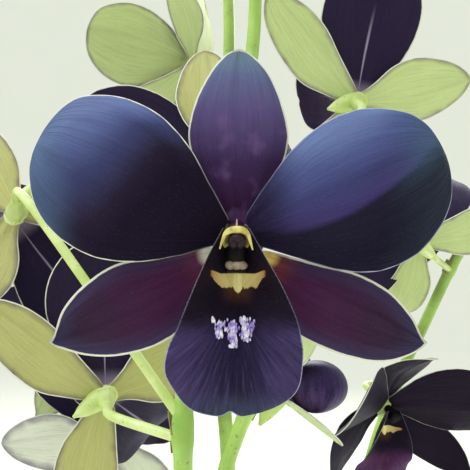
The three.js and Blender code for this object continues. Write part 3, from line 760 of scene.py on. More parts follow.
def tepal_surface(tepal, close):
    base = np.array(tepal["base"])
    run = np.array(tepal["tip"]) - base
    turn = math.atan2(run[1], run[0])
    length = float(np.hypot(*run))
    wide = max(*tepal["first"], *tepal["second"])
    back, middle, end = tepal["depth"]

    def place(along, across):
        share = share_of(along)
        half = half_width(tepal, along, across)
        forth = length * share
        depth = (back * (1 - share) * (1 - 2 * share) + 4 * middle * share * (1 - share)
                 + end * share * (2 * share - 1) + tepal["edge"] * (half / wide) ** 2)
        lean = close * forth
        reach = np.cos(lean / length) * forth
        return np.stack([
            base[0] + reach * math.cos(turn) - half * math.sin(turn),
            depth - np.sin(lean / length) * forth,
            base[1] + reach * math.sin(turn) + half * math.cos(turn),
        ], axis=-1)
    return place


def tepal_relief(name, seed):
    """How far a tepal's surface stands proud, in millimetres: veins, folds and soft waves."""
    tepal = TEPALS[name]
    lines = {"dorsal_sepal": 11, "petal_left": 15, "petal_right": 15}.get(name, 12)

    def relief(along, across):
        half = half_width(tepal, along, across)
        sheet = np.stack([30 * share_of(along), half, np.full_like(half, seed)], axis=-1)
        fade = smoothstep(0.0, 0.15, along) * smoothstep(1.0, 0.85, along)
        fan = np.stack([across * lines, 1.5 * along, np.full_like(half, seed)], axis=-1)
        total = 0.28 * ripple(sheet, 14, seed) + 0.1 * ripple(sheet, 5, seed + 1)
        total += 0.07 * ripple(fan, 1.6, seed + 2) * (1 - np.abs(across) ** 4)
        if name == "petal_right":
            total += 1.1 * np.exp(-np.abs(half + 2.4 * np.sin(np.pi * share_of(along))) / 3.0)
        elif name == "petal_left":
            total += 0.4 * np.exp(-np.abs(half) / 4.0)
        elif name == "dorsal_sepal":
            total -= 0.3 * np.exp(-(half / 0.7) ** 2)
        else:
            total += 0.12 * ripple(fan, 3.5, seed + 3)
        return fade * total
    return relief


def leaning(place, lean):
    """The same surface, leaning forward about the flower's middle, in radians."""
    upright, forward = math.cos(lean), math.sin(lean)

    def leaned(along, across):
        x, y, z = np.moveaxis(place(along, across), -1, 0)
        return np.stack([x, y * upright + z * forward, z * upright - y * forward], axis=-1)
    return leaned


def lip_place(along, across):
    share = share_of(along)
    half = half_width(LIP, along, across)
    floor = through(LIP["floor"], along)
    wall = np.abs(across) ** 2.2
    lift = through(LIP["lift"], along) * (np.abs(across) ** 1.6 - 1)
    notch = 0.9 * np.exp(-(half + 1.0) ** 2 / 1.2) * smoothstep(0.8, 1.0, share)
    return np.stack([half, floor + (through(LIP["rim"], along) - floor) * wall,
                     lift + notch - LIP["length"] * share], axis=-1)


def lip_relief(along, across):
    half = half_width(LIP, along, across)
    share = share_of(along)
    fade = smoothstep(0.03, 0.15, along) * smoothstep(1.0, 0.9, along)
    lobe = smoothstep(0.5, 0.65, share)
    fan = np.arctan2(half, np.maximum(LIP["length"] * share - 13, 1.0))
    veins = 0.1 * np.sin(30 * fan + 2 * np.sin(9 * share)) * (1 - np.abs(across) ** 6) * lobe
    groove = -0.45 * np.exp(-(half / 0.9) ** 2) * lobe
    keel = 0.5 * np.exp(-((half - 0.5) / 0.6) ** 2) * smoothstep(0.65, 0.3, share)
    wave = 0.5 * np.abs(across) ** 4 * np.sin(22 * share + 2 * np.sign(across)) * lobe
    return fade * (veins + groove + keel + wave)


def hub(body, stand, look, column_look):
    egg(body, (0, 4.5, -1.8), (3.0, 1.7, 4.2), 9, look, stand)
    tube(body, [(0, -3.2, -2.4), (0, 0, -1.6), (0, 4.5, -1.4)], [2.0, 1.6, 1.1], 6, 10, column_look, stand)


def ribbed(share, angle):
    return 0.07 * np.cos(6 * angle + 1.5 * share)


def ovary(body, stand, look, detail):
    tube(body, [(0, 2.3, -0.6), (0, 5, -0.8), (0, 8, -1.2), OVARY_END], [1.3, 2.4, 1.9, 1.3],
         12, 2 * detail, look, stand, ribbed)
    tube(body, [(0, 3.4, -0.6), (0, 5.4, -3.2), (0, 8.2, -7.6), (0, 9.3, -9.6)], [2.0, 2.7, 2.3, 1.6, 0.4],
         14, 2 * detail, look, stand)


def standing(at, faces, top):
    """Where a flower's own frame stands: its turn and its place."""
    back = -unit(faces)
    angle = math.radians(top)
    up = np.array([math.cos(angle), 0, math.sin(angle)])
    up = unit(up - back * up.dot(back))
    return np.column_stack([np.cross(back, up), back, up]), np.array(at, float)


SPIKES = {
    "spike_1": ([(-14, -32, 303), (-14, -42, 400), (-11.2, -54, 505), (-11.2, -53, 522), (-9.7, -47, 539),
                 (-4.7, -41, 560), (1.2, -35, 588), (4.5, -31, 608), (4.5, -29, 640), (-1, -27, 672)],
                [3.0, 2.9, 2.6, 2.5, 2.3, 2.1, 1.9, 1.7, 1.5, 0.9]),
    "spike_2": ([(4, -18, 288), (-2, -30, 400), (-3.1, -40, 500), (2.1, -40, 517), (9.2, -43, 533.5),
                 (17.1, -45, 552), (24, -46, 569), (28, -46, 577)],
                [2.8, 2.6, 2.3, 2.2, 2.1, 1.9, 1.6, 1.0]),
    "spike_3": ([(24, 30, 300), (35, 48, 400), (50, 61, 470), (63.5, 65, 506), (71.3, 60, 526),
                 (79.6, 55, 547), (86.4, 53, 561), (95, 50, 592), (99, 48, 622)],
                [2.8, 2.6, 2.4, 2.3, 2.2, 2.1, 2.0, 1.6, 0.9]),
    "spike_4": ([(-6, 16, 306), (-4, 17, 400), (-2.2, 17, 486), (-6.4, 20, 539), (-4.2, 20, 587),
                 (-1.9, 20, 621), (-4, 20, 655), (-13, 16, 688)],
                [3.0, 2.8, 2.6, 2.4, 2.2, 2.0, 1.7, 0.9]),
}

BARE_JOINTS = [0.06, 0.2, 0.36]    # shares of a spike's length where it has a bract and no flower

FLOWERS = {
    "flower_1": dict(at=(0.2, FACE_FRONT, EYE_HEIGHT + 1.2), faces=(0, -1, 0), top=90, spike="spike_1",
                     joins=(-9.2, -46, 541), close=0),
    "flower_2": dict(at=(34.8, -5, 598.7), faces=(0, 0.95, 0.3), top=10, spike="spike_2",
                     joins=(23.5, -46, 568), close=0.1, lip=1.05, back="pale"),
    "flower_3": dict(at=(-32.5, -27, 521), faces=(-0.3, 0.95, 0.1), top=18, spike="spike_1",
                     joins=(-11.2, -54, 516), close=0.15, bent={"petal_left": 0.8}, lip=1.2,
                     back="olive"),
    "flower_4": dict(at=(-59, -19, 562.5), faces=(-0.3, 0.85, -0.4), top=241, spike="spike_1",
                     joins=(-11.2, -54, 520), close=0.1, lip=0.7, back="olive"),
    "flower_5": dict(at=(-38, 5.5, 500.8), faces=(0, 1, 0.1), top=184, spike="spike_2",
                     joins=(-3, -36, 460), close=0.1, lip=0.7, back="white"),
    "flower_6": dict(at=(-19, 52, 625), faces=(-0.8, 0.5, 0.35), top=120, spike="spike_4",
                     joins=(-4, 20, 592), close=0.5, petals="pale", back="pale"),
    "flower_7": dict(at=(-5.4, -14, 581.8), faces=(0, 1, 0), top=95, spike="spike_1",
                     joins=(0.2, -36, 584), close=0, bent={"dorsal_sepal": 0.35, "petal_left": 1.0},
                     back="olive"),
    "flower_8": dict(at=(53.7, 35, 500.8), faces=(0.35, -0.85, -0.35), top=88, spike="spike_3",
                     joins=(62, 65, 503), close=0.6, back="olive", face="dusk"),
    "flower_9": dict(at=(64, 44, 559), faces=(0.2, 0.95, 0.1), top=135, spike="spike_3",
                     joins=(79.6, 55, 547), close=0.1, bent={"petal_left": 0.9, "sepal_right": 0.7}, lip=1.1,
                     back="pale"),
    "flower_10": dict(at=(-45.9, 25, 535.4), faces=(0, 1, 0), top=120, spike="spike_4",
                      joins=(-5, 18, 515), close=0.1, back="pale"),
}

OPENING = dict(at=(15.5, -29, 522), faces=(1, 0.25, -0.05), ball=6.6, joins=(3, -40, 519))
OPENING_SEPALS = [(85, 0.63, 22), (264, 0.14, 21), (0, 0.3, 22)]

BUDS = [
    ("spike_1", (4.4, -29.5, 632), (-2, -40, 644), 15),
    ("spike_1", (3.2, -28, 652), (10, -20, 664), 13),
    ("spike_1", (-0.6, -27, 670), (-6, -28, 684), 10),
    ("spike_2", (27.5, -46, 576), (35, -45, 580), 9),
    ("spike_3", (93, 51, 584), (101, 42, 596), 14),
    ("spike_3", (98.8, 48, 620), (103, 47, 633), 11),
    ("spike_4", (-3, 20, 645), (6, 26, 658), 14),
    ("spike_4", (-12.6, 16.3, 686), (-20, 12, 697), 11),
]

CANES = {
    "cane_1": [(-16, -14, 94), (-20, -22, 160), (-18, -29, 230), (-14, -32, 302.4)],
    "cane_2": [(9, -8, 94), (14, -14, 160), (10, -18, 230), (4, -18, 287.4)],
    "cane_3": [(-8, 14, 94), (-16, 18, 160), (-12, 18, 230), (-6, 16, 305.4)],
    "cane_4": [(17, 15, 94), (26, 22, 160), (26, 27, 230), (24, 30, 299.4)],
}
CANE_RADII = [5.5, 5.0, 7.0, 8.2, 8.4, 7.8, 6.6, 5.2, 4.2]

# Leaves: the cane and the share of the way up it, the compass direction, length, width, rise, droop.
LEAVES = [
    ("cane_1", 0.62, 200, 150, 30, 50, 62),
    ("cane_1", 0.78, -75, 135, 28, 52, 60),
    ("cane_1", 0.93, 165, 115, 25, 58, 48),
    ("cane_2", 0.58, -40, 150, 31, 48, 66),
    ("cane_2", 0.8, -5, 130, 27, 50, 58),
    ("cane_3", 0.6, 130, 150, 31, 50, 64),
    ("cane_3", 0.84, 100, 125, 27, 56, 52),
    ("cane_4", 0.6, 25, 150, 30, 48, 66),
    ("cane_4", 0.76, 60, 135, 28, 52, 60),
    ("cane_2", 0.95, -48, 105, 24, 56, 44),
    ("cane_4", 0.95, 10, 105, 24, 58, 44),
]

POT = dict(height=120, foot=48, rim=66, wall=3, floor=5, lip=4, lip_drop=14)
DRAIN = dict(count=5, radius=5, ring=28)
MIX = dict(top=102, crown=5, chips=460)


def lathed(profile, sides):
    """Rings of points about the upright axis, from pairs of radius and height."""
    angle = 2 * np.pi * np.arange(sides) / sides
    return np.array([np.stack([radius * np.cos(angle), radius * np.sin(angle), np.full(sides, z)], axis=1)
                     for radius, z in profile])

def make_pot(clay):
    """Turned clay pot with a rolled lip and drain holes."""
    height, foot, rim, wall, floor = (POT[key] for key in ("height", "foot", "rim", "wall", "floor"))
    band, lip_foot = rim + POT["lip"], height - POT["lip_drop"]
    slope = (rim - foot) / height
    profile = [(5, 0.0), (foot - 5, 0.0), (foot - 1.5, 0.0), (foot - 0.4, 0.5), (foot, 1.6)]
    profile += [(foot + slope * z, z) for z in np.linspace(6, lip_foot - 1.5, 16)]
    profile += [(foot + slope * lip_foot + 0.4, lip_foot - 0.5), (band - 1.5, lip_foot + 0.4),
                (band - 0.4, lip_foot + 1.2)]
    profile += [(band, z) for z in (lip_foot + 2.5, lip_foot + 6, height - 4, height - 2.5)]
    profile += [(band - 0.5, height - 0.9), (band - 1.6, height - 0.1), (band - 3.5, height),
                (rim - wall + 1.2, height - 0.2), (rim - wall + 0.2, height - 1.2)]
    profile += [(foot - wall + slope * (z - floor), z) for z in np.linspace(height - 4, floor + 3, 12)]
    profile += [(foot - wall - 2.5, floor + 0.6), (foot - wall - 7, floor), (5, floor)]
    rings = lathed(profile, 144)
    wobble = 1 + 0.002 * ripple(rings, 60, 5)
    rings[..., :2] *= np.minimum(wobble, 1.0)[..., None]
    body = Body()
    skin(body, rings)
    pot = make_piece("clay_pot", body, [clay], ["pot"])
    drill(pot, clay)
    pot.data.set_sharp_from_angle(angle=math.radians(40))


def drill(pot, clay):
    """Cuts the drain holes through the pot's floor."""
    body = Body()
    turn = 2 * np.pi * np.arange(32) / 32
    for number in range(DRAIN["count"]):
        way = 2 * np.pi * number / DRAIN["count"]
        x = DRAIN["ring"] * math.cos(way) + DRAIN["radius"] * np.cos(turn)
        y = DRAIN["ring"] * math.sin(way) + DRAIN["radius"] * np.sin(turn)
        skin(body, np.array([np.stack([x, y, np.full(32, z)], axis=1) for z in (-5.0, 15.0)]))
    mesh = bpy.data.meshes.new("drills")
    faces = [[corner for k, corner in enumerate(face) if corner not in face[:k]]
             for block in body.blocks for face in block[0].tolist()]
    mesh.from_pydata((np.vstack(body.points) * MM).tolist(), [], faces)
    mesh.materials.append(clay)
    drills = add_object("drills", mesh)
    cut = pot.modifiers.new("drain_holes", "BOOLEAN")
    cut.operation, cut.solver, cut.object = "DIFFERENCE", "EXACT", drills
    whole = pot.data
    pot.data = bpy.data.meshes.new_from_object(pot.evaluated_get(bpy.context.evaluated_depsgraph_get()))
    pot.modifiers.clear()
    bpy.data.meshes.remove(whole)
    bpy.data.objects.remove(drills)
    bpy.data.meshes.remove(mesh)


def closed_rings(body, rings, levels, look):
    """Body over rings that close on themselves both ways, with the level of each ring as its UV height."""
    rows, columns = rings.shape[:2]
    row, after, column, faces = cells(rows, rows, columns)
    corners = ((0, row), (1, row), (1, after), (0, after))
    uv = np.stack([np.stack([(column + k) / columns, levels[q]], axis=1) for k, q in corners], axis=1)
    body.add(rings.reshape(-1, 3), faces, uv, np.full(len(faces), look))


def make_bark(dark, mid, light):
    """A mound of bark with chips lying over it."""
    inner = (POT["foot"] - POT["wall"]
             + (POT["rim"] - POT["foot"]) * (MIX["top"] - POT["floor"]) / (POT["height"] - POT["floor"]))
    body = Body()
    profile = [(40, POT["floor"] + 1.0), (inner - 13, 40.0), (inner - 1.0, MIX["top"] - 3)]
    profile += [(r, MIX["top"] - 3 + MIX["crown"] * (1 - (r / inner) ** 2))
                for r in np.linspace(inner - 4, 4, 12)]
    rings = lathed(profile, 72)
    rings[3:, :, 2] += 0.9 * ripple(rings[3:], 9, 3)
    skin(body, rings, 0)
    rng = np.random.default_rng(11)
    corners = 9
    for number in range(MIX["chips"]):
        far = (inner - 8) * math.sqrt(rng.uniform(0, 1))
        way = rng.uniform(0, 2 * np.pi)
        length, width, thick = rng.uniform(5, 11), rng.uniform(3, 6.5), rng.uniform(1.2, 3.0)
        around = 2 * np.pi * (np.arange(corners) + rng.uniform(-0.3, 0.3, corners)) / corners
        outline = np.stack([length * np.cos(around), width * np.sin(around)], axis=1)
        outline *= rng.uniform(0.75, 1.0, (corners, 1))
        rings = []
        for level, size in ((-1, 0.72), (-0.75, 0.95), (0.0, 1.0), (0.75, 0.93), (1, 0.7)):
            ring = np.column_stack([outline * size, np.full(corners, level * thick)])
            rings.append(ring + rng.uniform(-0.25, 0.25, (corners, 3)))
        rings = np.array(rings)
        roll, pitch, yaw = rng.normal(0, 0.34), rng.normal(0, 0.34), rng.uniform(0, 2 * np.pi)
        turn = turned(yaw, pitch, roll)
        level = MIX["top"] - 3.5 + MIX["crown"] * (1 - (far / inner) ** 2) + rng.uniform(-1, 5)
        at = np.array([far * math.cos(way), far * math.sin(way), level])
        chip = rings @ turn.T + at
        chip[..., 2] = np.minimum(chip[..., 2], POT["height"] - 4)
        reach = np.hypot(chip[..., 0], chip[..., 1])
        limit = inner - 0.8
        chip[..., :2] *= np.minimum(1, limit / reach)[..., None]
        skin(body, chip, number % 3)
    make_piece("bark_mix", body, [dark, mid, light], ["potting_mix"], sharp=38)


def turned(yaw, pitch, roll):
    cy, sy, cp, sp, cr, sr = (f(v) for v in (yaw, pitch, roll) for f in (math.cos, math.sin))
    return (np.array([[cy, -sy, 0], [sy, cy, 0], [0, 0, 1]])
            @ np.array([[cp, 0, sp], [0, 1, 0], [-sp, 0, cp]])
            @ np.array([[1, 0, 0], [0, cr, -sr], [0, sr, cr]]))


def make_canes(skin_look, husk):
    """Ribbed canes, pinched at their joints, with dry sheaths low down and a root collar."""
    joints = 9
    for index, (name, points) in enumerate(CANES.items()):
        body = Body()

        def swell(share, angle):
            place = share * joints % 1.0
            pinch = -0.055 * np.exp(-(np.minimum(place, 1 - place) / 0.05) ** 2)
            collar = 0.05 * np.exp(-((place - 0.1) / 0.05) ** 2)
            ribs = 0.018 * np.cos(11 * angle + 2.0 * np.sin(9 * share)) * smoothstep(0.1, 0.3, share)
            return pinch + collar + ribs - 0.02
        tube(body, points, CANE_RADII, 160, 44, 0, swell=swell)
        for k in range(1, 5):
            upper = (k + 0.66 + 0.12 * math.sin(3 * k + index)) / joints
            sheath(body, points, (k - 0.02) / joints, upper, 1, 31 * index + k)
        make_piece(name + "_skin", body, [skin_look, husk], [name])


def sheath(body, points, start, end, look, seed, room=0.35, thick=0.35, slit=0.5):
    """Sleeve round a cane between two shares of its length, with a torn, slanting upper edge."""
    line = smooth_line(points, 241)
    side, other = crossways(line)
    share = np.linspace(0, 1, len(line))
    columns, rows = 40, 10
    angle = 2 * np.pi * np.arange(columns) / columns
    rings = []
    levels = [(v, 1) for v in np.linspace(0, 1, rows)] + [(v, 0) for v in np.linspace(1, 0, rows)]
    slant = 0.22 * slit * np.cos(angle - seed)
    tear = slant + 0.05 * np.sin(5 * angle + seed) + 0.03 * np.sin(11 * angle + 2 * seed)
    for value, outer in levels:
        at = start + (end - start) * value * (1 + tear)
        middle, first, second = (sampled(values, share, at) for values in (line, side, other))
        radius = through(CANE_RADII, at) + (room + 0.55 * value**3 if outer else -0.6)
        radius = radius + outer * 0.12 * np.sin(9 * angle + seed) * value
        if not outer:
            radius = np.where(value > 0.9, radius + room + 0.55 * value**3 + 0.6 - thick, radius)
        rings.append(middle + (radius * np.cos(angle))[:, None] * first
                     + (radius * np.sin(angle))[:, None] * second)
    closed_rings(body, np.array(rings), np.array([value for value, _ in levels]), look)


def leaf_surface(leaf):
    cane, up, towards, length, width, rise, droop = leaf
    start = smooth_line(CANES[cane], 1001)[round(1000 * up)]
    angle, rise, droop = (math.radians(v) for v in (towards, rise, droop))
    steps = 24
    slope = rise - droop * (np.arange(1, steps + 1) / steps) ** 1.3
    out = np.concatenate([[0], np.cumsum(np.cos(slope))]) * length / steps
    high = np.concatenate([[0], np.cumsum(np.sin(slope))]) * length / steps
    halves = np.array([4.5, 5.5, 9, 13, 15, 14.5, 11.5, 6.5, 0]) * width / 30

    def place(along, across):
        share = share_of(along)
        half = through(halves, along) * across
        fold = 0.35 * np.abs(half) + (1 - share) ** 4 * 3 * np.abs(across)
        reach = through(out, share)
        return np.stack([start[0] + reach * math.cos(angle) - half * math.sin(angle),
                         start[1] + reach * math.sin(angle) + half * math.cos(angle),
                         start[2] + through(high, share) + fold], axis=-1)
    return place


def make_leaves(top_look, under_look, sheath_look):
    """Strap leaves folded along the midrib, each from a green sleeve round its cane."""
    for number, leaf in enumerate(LEAVES, 1):
        body = Body()
        seed = 40 + number

        def relief(along, across):
            sheet = np.stack([60 * share_of(along), 12 * across, np.full_like(across, seed)], axis=-1)
            veins = 0.06 * np.cos(30 * np.pi * across) * (1 - np.abs(across) ** 8)
            wave = 0.9 * ripple(sheet, 22, seed) * np.abs(across) ** 2
            rib = 0.35 * np.exp(-(across / 0.05) ** 2)
            return smoothstep(0, 0.2, along) * smoothstep(1.0, 0.9, along) * (veins + wave - rib)
        plate(body, leaf_surface(leaf), 70, 40, 0.9, (0, 1), relief=relief)
        cane, up = leaf[:2]
        sheath(body, CANES[cane], up - 0.1, up + 0.004, 2, seed, room=0.5, thick=0.5, slit=0.3)
        make_piece(f"leaf_{number}_blade", body, [top_look, under_look, sheath_look],
                   [f"leaf_{number}"])


def make_spikes(stem, bract):
    """Flower stems with a joint and a small papery bract below each pedicel."""
    for name, (points, radii) in SPIKES.items():
        steps = 400
        line = smooth_line(points, steps + 1)
        meets = [(flower["joins"], flower["at"]) for flower in FLOWERS.values() if flower["spike"] == name]
        meets += [(joins, at) for spike, joins, at, _ in BUDS if spike == name]
        if name == "spike_2":
            meets.append((OPENING["joins"], OPENING["at"]))
        shares = [float(np.argmin(((line - np.array(joins)) ** 2).sum(1))) / steps for joins, _ in meets]
        shares += BARE_JOINTS
        body = Body()

        def swell(share, angle):
            total = 0.012 * np.cos(7 * angle)
            for place in shares:
                total = total + 0.2 * np.exp(-((share - place) / 0.006) ** 2)
            return total
        tube(body, points, radii, 260, 20, 0, swell=swell)
        side = crossways(line)[0]
        for number, place in enumerate(shares):
            at = min(int(place * steps), steps - 4)
            direction = unit(line[at + 4] - line[at])
            target = np.array(meets[number][1], float) if number < len(meets) else line[at] + side[at]
            out = target - line[at]
            out = unit(out - direction * out.dot(direction))
            add_bract(body, line[at], direction, out, through(radii, place))
        make_piece(name + "_stem", body, [stem, bract], [name])


def add_bract(body, at, direction, out, radius):
    """Small pointed scale that clasps the stem."""
    side = np.cross(direction, out)
    length = 5.0

    def place(along, across):
        share = share_of(along)
        spread = 1.15 * across * (1 - 0.85 * share)
        away = radius * 1.05 + 0.3 + 1.1 * share**1.5
        return (at + (away * np.cos(spread))[..., None] * out + (away * np.sin(spread))[..., None] * side
                + (length * share - 1.6)[..., None] * direction)
    plate(body, place, 10, 6, 0.35, (1, 1))


def pedicel_path(stand, joins):
    start = [placed(np.array(p, float), stand) for p in ((0, 9, -1.3), OVARY_END, (0, 17, -1.6))]
    return [*start, np.array(joins, float)]


def make_first_flower(faces, backs, rest):
    flower = FLOWERS["flower_1"]
    stand = standing(flower["at"], flower["faces"], flower["top"])
    for seed, (name, tepal) in enumerate(TEPALS.items(), 2):
        body = Body()
        plate(body, tepal_surface(tepal, 0), 88, 46, 0.55, (0, 1), stand, tepal_relief(name, seed))
        back = backs["petal" if name.startswith("petal") else "olive"]
        make_piece(f"flower_1_{name}_skin", body, [faces[name], back], [f"flower_1_{name}"])
    body = Body()
    plate(body, lip_place, 110, 60, 0.5, (0, 1), stand, lip_relief)
    add_callus(body, stand, 2)
    make_piece("flower_1_lip_skin", body, [rest["lip"], rest["lip_back"], rest["callus"]],
               ["flower_1_lip"])
    make_column(stand, rest)
    body = Body()
    ovary(body, stand, 1, 14)
    tube(body, pedicel_path(stand, flower["joins"]), PEDICEL_RADII, 40, 16, 0)
    make_piece("flower_1_pedicel_skin", body, [rest["pedicel"], ovary_look()],
               ["flower_1_pedicel"])


def add_callus(body, stand, look):
    """Crystalline warts in three rows on the lip, below the throat."""
    rng = np.random.default_rng(21)
    rows = [(-2.8, 0.33, -15.7, -18.0, 60), (-0.5, 0.3, -15.8, -19.8, 110), (1.5, 0.52, -15.2, -18.8, 100),
            (2.6, 0.22, -15.6, -17.0, 14), (-3.8, 0.15, -15.1, -15.6, 4), (-1.7, 0.25, -15.4, -17.0, 9)]
    for middle, spread, high, low, count in rows:
        for _ in range(count):
            x = middle + rng.normal(0, spread)
            z = rng.uniform(low, high)
            share = -z / LIP["length"]
            depth = np.interp(math.acos(1 - 2 * share) / math.pi, np.linspace(0, 1, 9), LIP["floor"])
            size = rng.uniform(0.16, 0.32)
            egg(body, (x, depth - 0.45 - rng.uniform(0, 0.5), z),
                (0.75 * size, 1.3 * size, rng.uniform(1.1, 2.2) * size), 4, look, stand,
                tilt=rng.uniform(-0.6, 0.3))


def make_column(stand, rest):
    """Hooded column: a pale green arch over the dark cap, and a pale pad on its foot."""
    body = Body()

    def hood(along, across):
        turn = across * math.radians(128)
        radius = 1.2 + 0.6 * along
        flare = 1 + 0.35 * np.abs(across) ** 3 * along
        y = 2.2 - 5.4 * along + 0.5 * np.abs(across) ** 2
        return np.stack([radius * flare * np.sin(turn), y, -2.0 - 0.3 * along + radius * np.cos(turn)],
                        axis=-1)
    plate(body, hood, 24, 22, 0.6, (0, 0), stand)
    arch = [(-2.75, -3.0, -3.5), (-2.3, -3.3, -2.2), (-1.75, -3.5, -0.95), (-0.95, -3.6, -0.42),
            (0.1, -3.6, -0.3), (1.1, -3.6, -0.42), (1.85, -3.5, -0.95), (2.35, -3.3, -2.3),
            (2.75, -3.0, -3.7)]
    tube(body, arch, [0.14, 0.24, 0.36, 0.56, 0.64, 0.56, 0.36, 0.24, 0.14], 48, 14, 0, stand)
    egg(body, (0.1, -3.5, 0.75), (0.16, 0.25, 0.75), 6, 1, stand)
    # column front under the cap, in the nearly black throat look: painted shade of the stigma's hollow
    tube(body, [(0, 0.3, -2.6), (0, 0.4, -5.0), (0, 0.1, -7.6)], [1.6, 1.9, 1.9, 1.5], 16, 18, 2, stand)
    for aside, size in ((-0.95, 0.95), (0.0, 1.05), (0.95, 0.9)):
        egg(body, (0.05 + aside, -0.95, -6.35), (1.05 * size, 0.9, 0.85 * size), 10, 3, stand, rough=0.05)
    make_piece("flower_1_column_skin", body, [rest["column"], rest["pink"], rest["throat"], rest["pad"]],
               ["flower_1_column"])
    body = Body()
    for aside in (-0.6, 0.6):
        egg(body, (0.1 + aside, -3.0, -2.3), (0.95, 1.15, 1.3), 10, 0, stand, rough=0.04)
    egg(body, (0.1, -3.4, -1.75), (1.15, 1.0, 0.8), 10, 0, stand, rough=0.04)
    make_piece("flower_1_anther_cap_skin", body, [rest["cap"]], ["flower_1_anther_cap"])


def make_later_flowers(faces, backs, rest):
    for index, name in enumerate(list(FLOWERS)[1:], 2):
        flower = FLOWERS[name]
        stand = standing(flower["at"], flower["faces"], flower["top"])
        body = Body()
        for k, (part, tepal) in enumerate(TEPALS.items()):
            rooted = dict(tepal, base=tuple(0.4 * v for v in tepal["base"]))
            close = flower.get("bent", {}).get(part, flower["close"])
            kind = (k, 5 if part.startswith("petal") else 6)
            plate(body, tepal_surface(rooted, close), 36, 22, 0.5, kind, stand,
                  tepal_relief(part, 10 * index + k))
        ovary(body, stand, 7, 9)
        hub(body, stand, 7, 8)
        tube(body, pedicel_path(stand, flower["joins"]), PEDICEL_RADII, 30, 12, 7)
        face = flower.get("face")
        looks = [faces[face or part] for part in TEPALS]
        looks += [backs[flower.get("petals", "petal")], backs[flower["back"]], rest["pedicel"],
                  rest["throat" if face else "column"]]
        make_piece(name + "_tepals", body, looks, [name])
        body = Body()
        plate(body, leaning(lip_place, flower.get("lip", 0)), 44, 26, 0.45, (0, 1), stand, lip_relief)
        lip = rest["lip_magenta" if face else "lip"]
        make_piece(name + "_lip_skin", body, [lip, rest["lip_back"]], [name + "_lip"])


def make_opening_flower(faces, backs, rest):
    stand = standing(OPENING["at"], OPENING["faces"], 90)
    body = Body()
    for angle, droop, length in OPENING_SEPALS:
        turn = math.radians(angle)
        out = np.array([math.cos(turn), 0, math.sin(turn)])
        side = np.array([-math.sin(turn), 0, math.cos(turn)])

        def place(along, across):
            share = share_of(along)
            half = through([2.2, 3.0, 4.6, 6.6, 7.4, 6.6, 4.6, 2.2, 0], along) * across
            away = 2.2 + length * np.sin(0.5 + droop * share) * share
            front = 4.6 - length * np.cos(0.5 + droop * share) * share + 0.015 * half**2
            return away[..., None] * out + half[..., None] * side + front[..., None] * np.array([0, 1, 0])
        plate(body, place, 40, 24, 0.5, (0, 1), stand)
    egg(body, (0, 4.6, 0.1), (3.7, 2.2, 3.8), 10, 2, stand)
    ovary(body, stand, 2, 9)
    tube(body, pedicel_path(stand, OPENING["joins"]), PEDICEL_RADII, 30, 12, 2)
    make_piece("flower_11_sepals", body, [faces["sepal_left"], backs["pale"], rest["pedicel"]],
               ["flower_11"])
    body = Body()
    ball = OPENING["ball"]
    egg(body, (0, -5.6, 0), (ball, 1.15 * ball, ball), 26, 0, stand, rough=0.03)
    make_piece("flower_11_petals_skin", body, [rest["ball"]], ["flower_11_petals"])


def make_buds(bud):
    for number, (_, joins, at, length) in enumerate(BUDS, 1):
        middle, start = np.array(at, float), np.array(joins, float)
        along = unit(middle - start)
        stem = 0.92
        path = [start] + [middle + share * length * along for share in (-0.6, -0.35, 0, 0.3, 0.5)]
        radii = [stem] * 5 + [0.21 * length, 0.3 * length, 0.3 * length, 0.2 * length, 0.3]
        body = Body()

        def swell(share, angle):
            seams = -0.05 * np.exp(-((np.abs((3 * angle / (2 * np.pi)) % 1.0 - 0.5) / 0.06) ** 2))
            chin = 0.16 * np.cos(angle) * np.exp(-((share - 0.58) / 0.12) ** 2)
            return (seams + chin) * smoothstep(0.45, 0.65, share) * smoothstep(1.0, 0.92, share)
        tube(body, path, radii, 56, 30, 0, swell=swell)
        make_piece(f"bud_{number}_skin", body, [bud], [f"bud_{number}"])


def make_floor():
    """Plain pale floor that curves up far away, so that it meets the light without a line."""
    sides, rings = 96, 40
    angle = 2 * np.pi * np.arange(sides) / sides
    far = np.linspace(0.02, 9.0, rings)
    rise = 0.19 * np.maximum(far - 4.0, 0) ** 2
    points = [(r * math.cos(a), r * math.sin(a), z - 0.0002) for r, z in zip(far, rise) for a in angle]
    faces = cells(rings - 1, rings, sides)[3].tolist()
    faces.append(tuple(range(sides)))
    mesh = bpy.data.meshes.new("floor")
    mesh.from_pydata(points, [], faces)
    mesh.polygons.foreach_set("use_smooth", np.ones(len(mesh.polygons), bool))
    look = Look("floor_paint", 0.9)
    cloud = look.noise(look.place(), 1.5, 2.0)
    mesh.materials.append(look.finish(look.mix(cloud, tint(250, 252, 242), tint(254, 255, 248))))
    add_object("floor", mesh)


def make_light(name, at, towards, size, power, colour):
    data = bpy.data.lights.new(name, "AREA")
    data.shape, data.size, data.size_y = "RECTANGLE", *size
    data.energy, data.color = power, colour
    light = add_object(name, data)
    light.location = at
    back = unit(np.array(at) - np.array(towards))
    right = unit(np.cross([0, 0, 1], back))
    turn = np.column_stack([right, np.cross(back, right), back])
    light.rotation_euler = Matrix(turn.tolist()).to_euler()
    light.visible_camera = False


def make_camera():
    data = bpy.data.cameras.new("camera")
    data.sensor_width = 36.0
    data.lens = FOCAL_PIXELS * data.sensor_width / PICTURE_PIXELS
    data.clip_start = 0.01
    camera = add_object("camera", data)
    camera.location = (0, (FACE_FRONT - CAMERA_AWAY) * MM, EYE_HEIGHT * MM)
    camera.rotation_euler = (math.pi / 2, 0, 0)
    bpy.context.scene.camera = camera


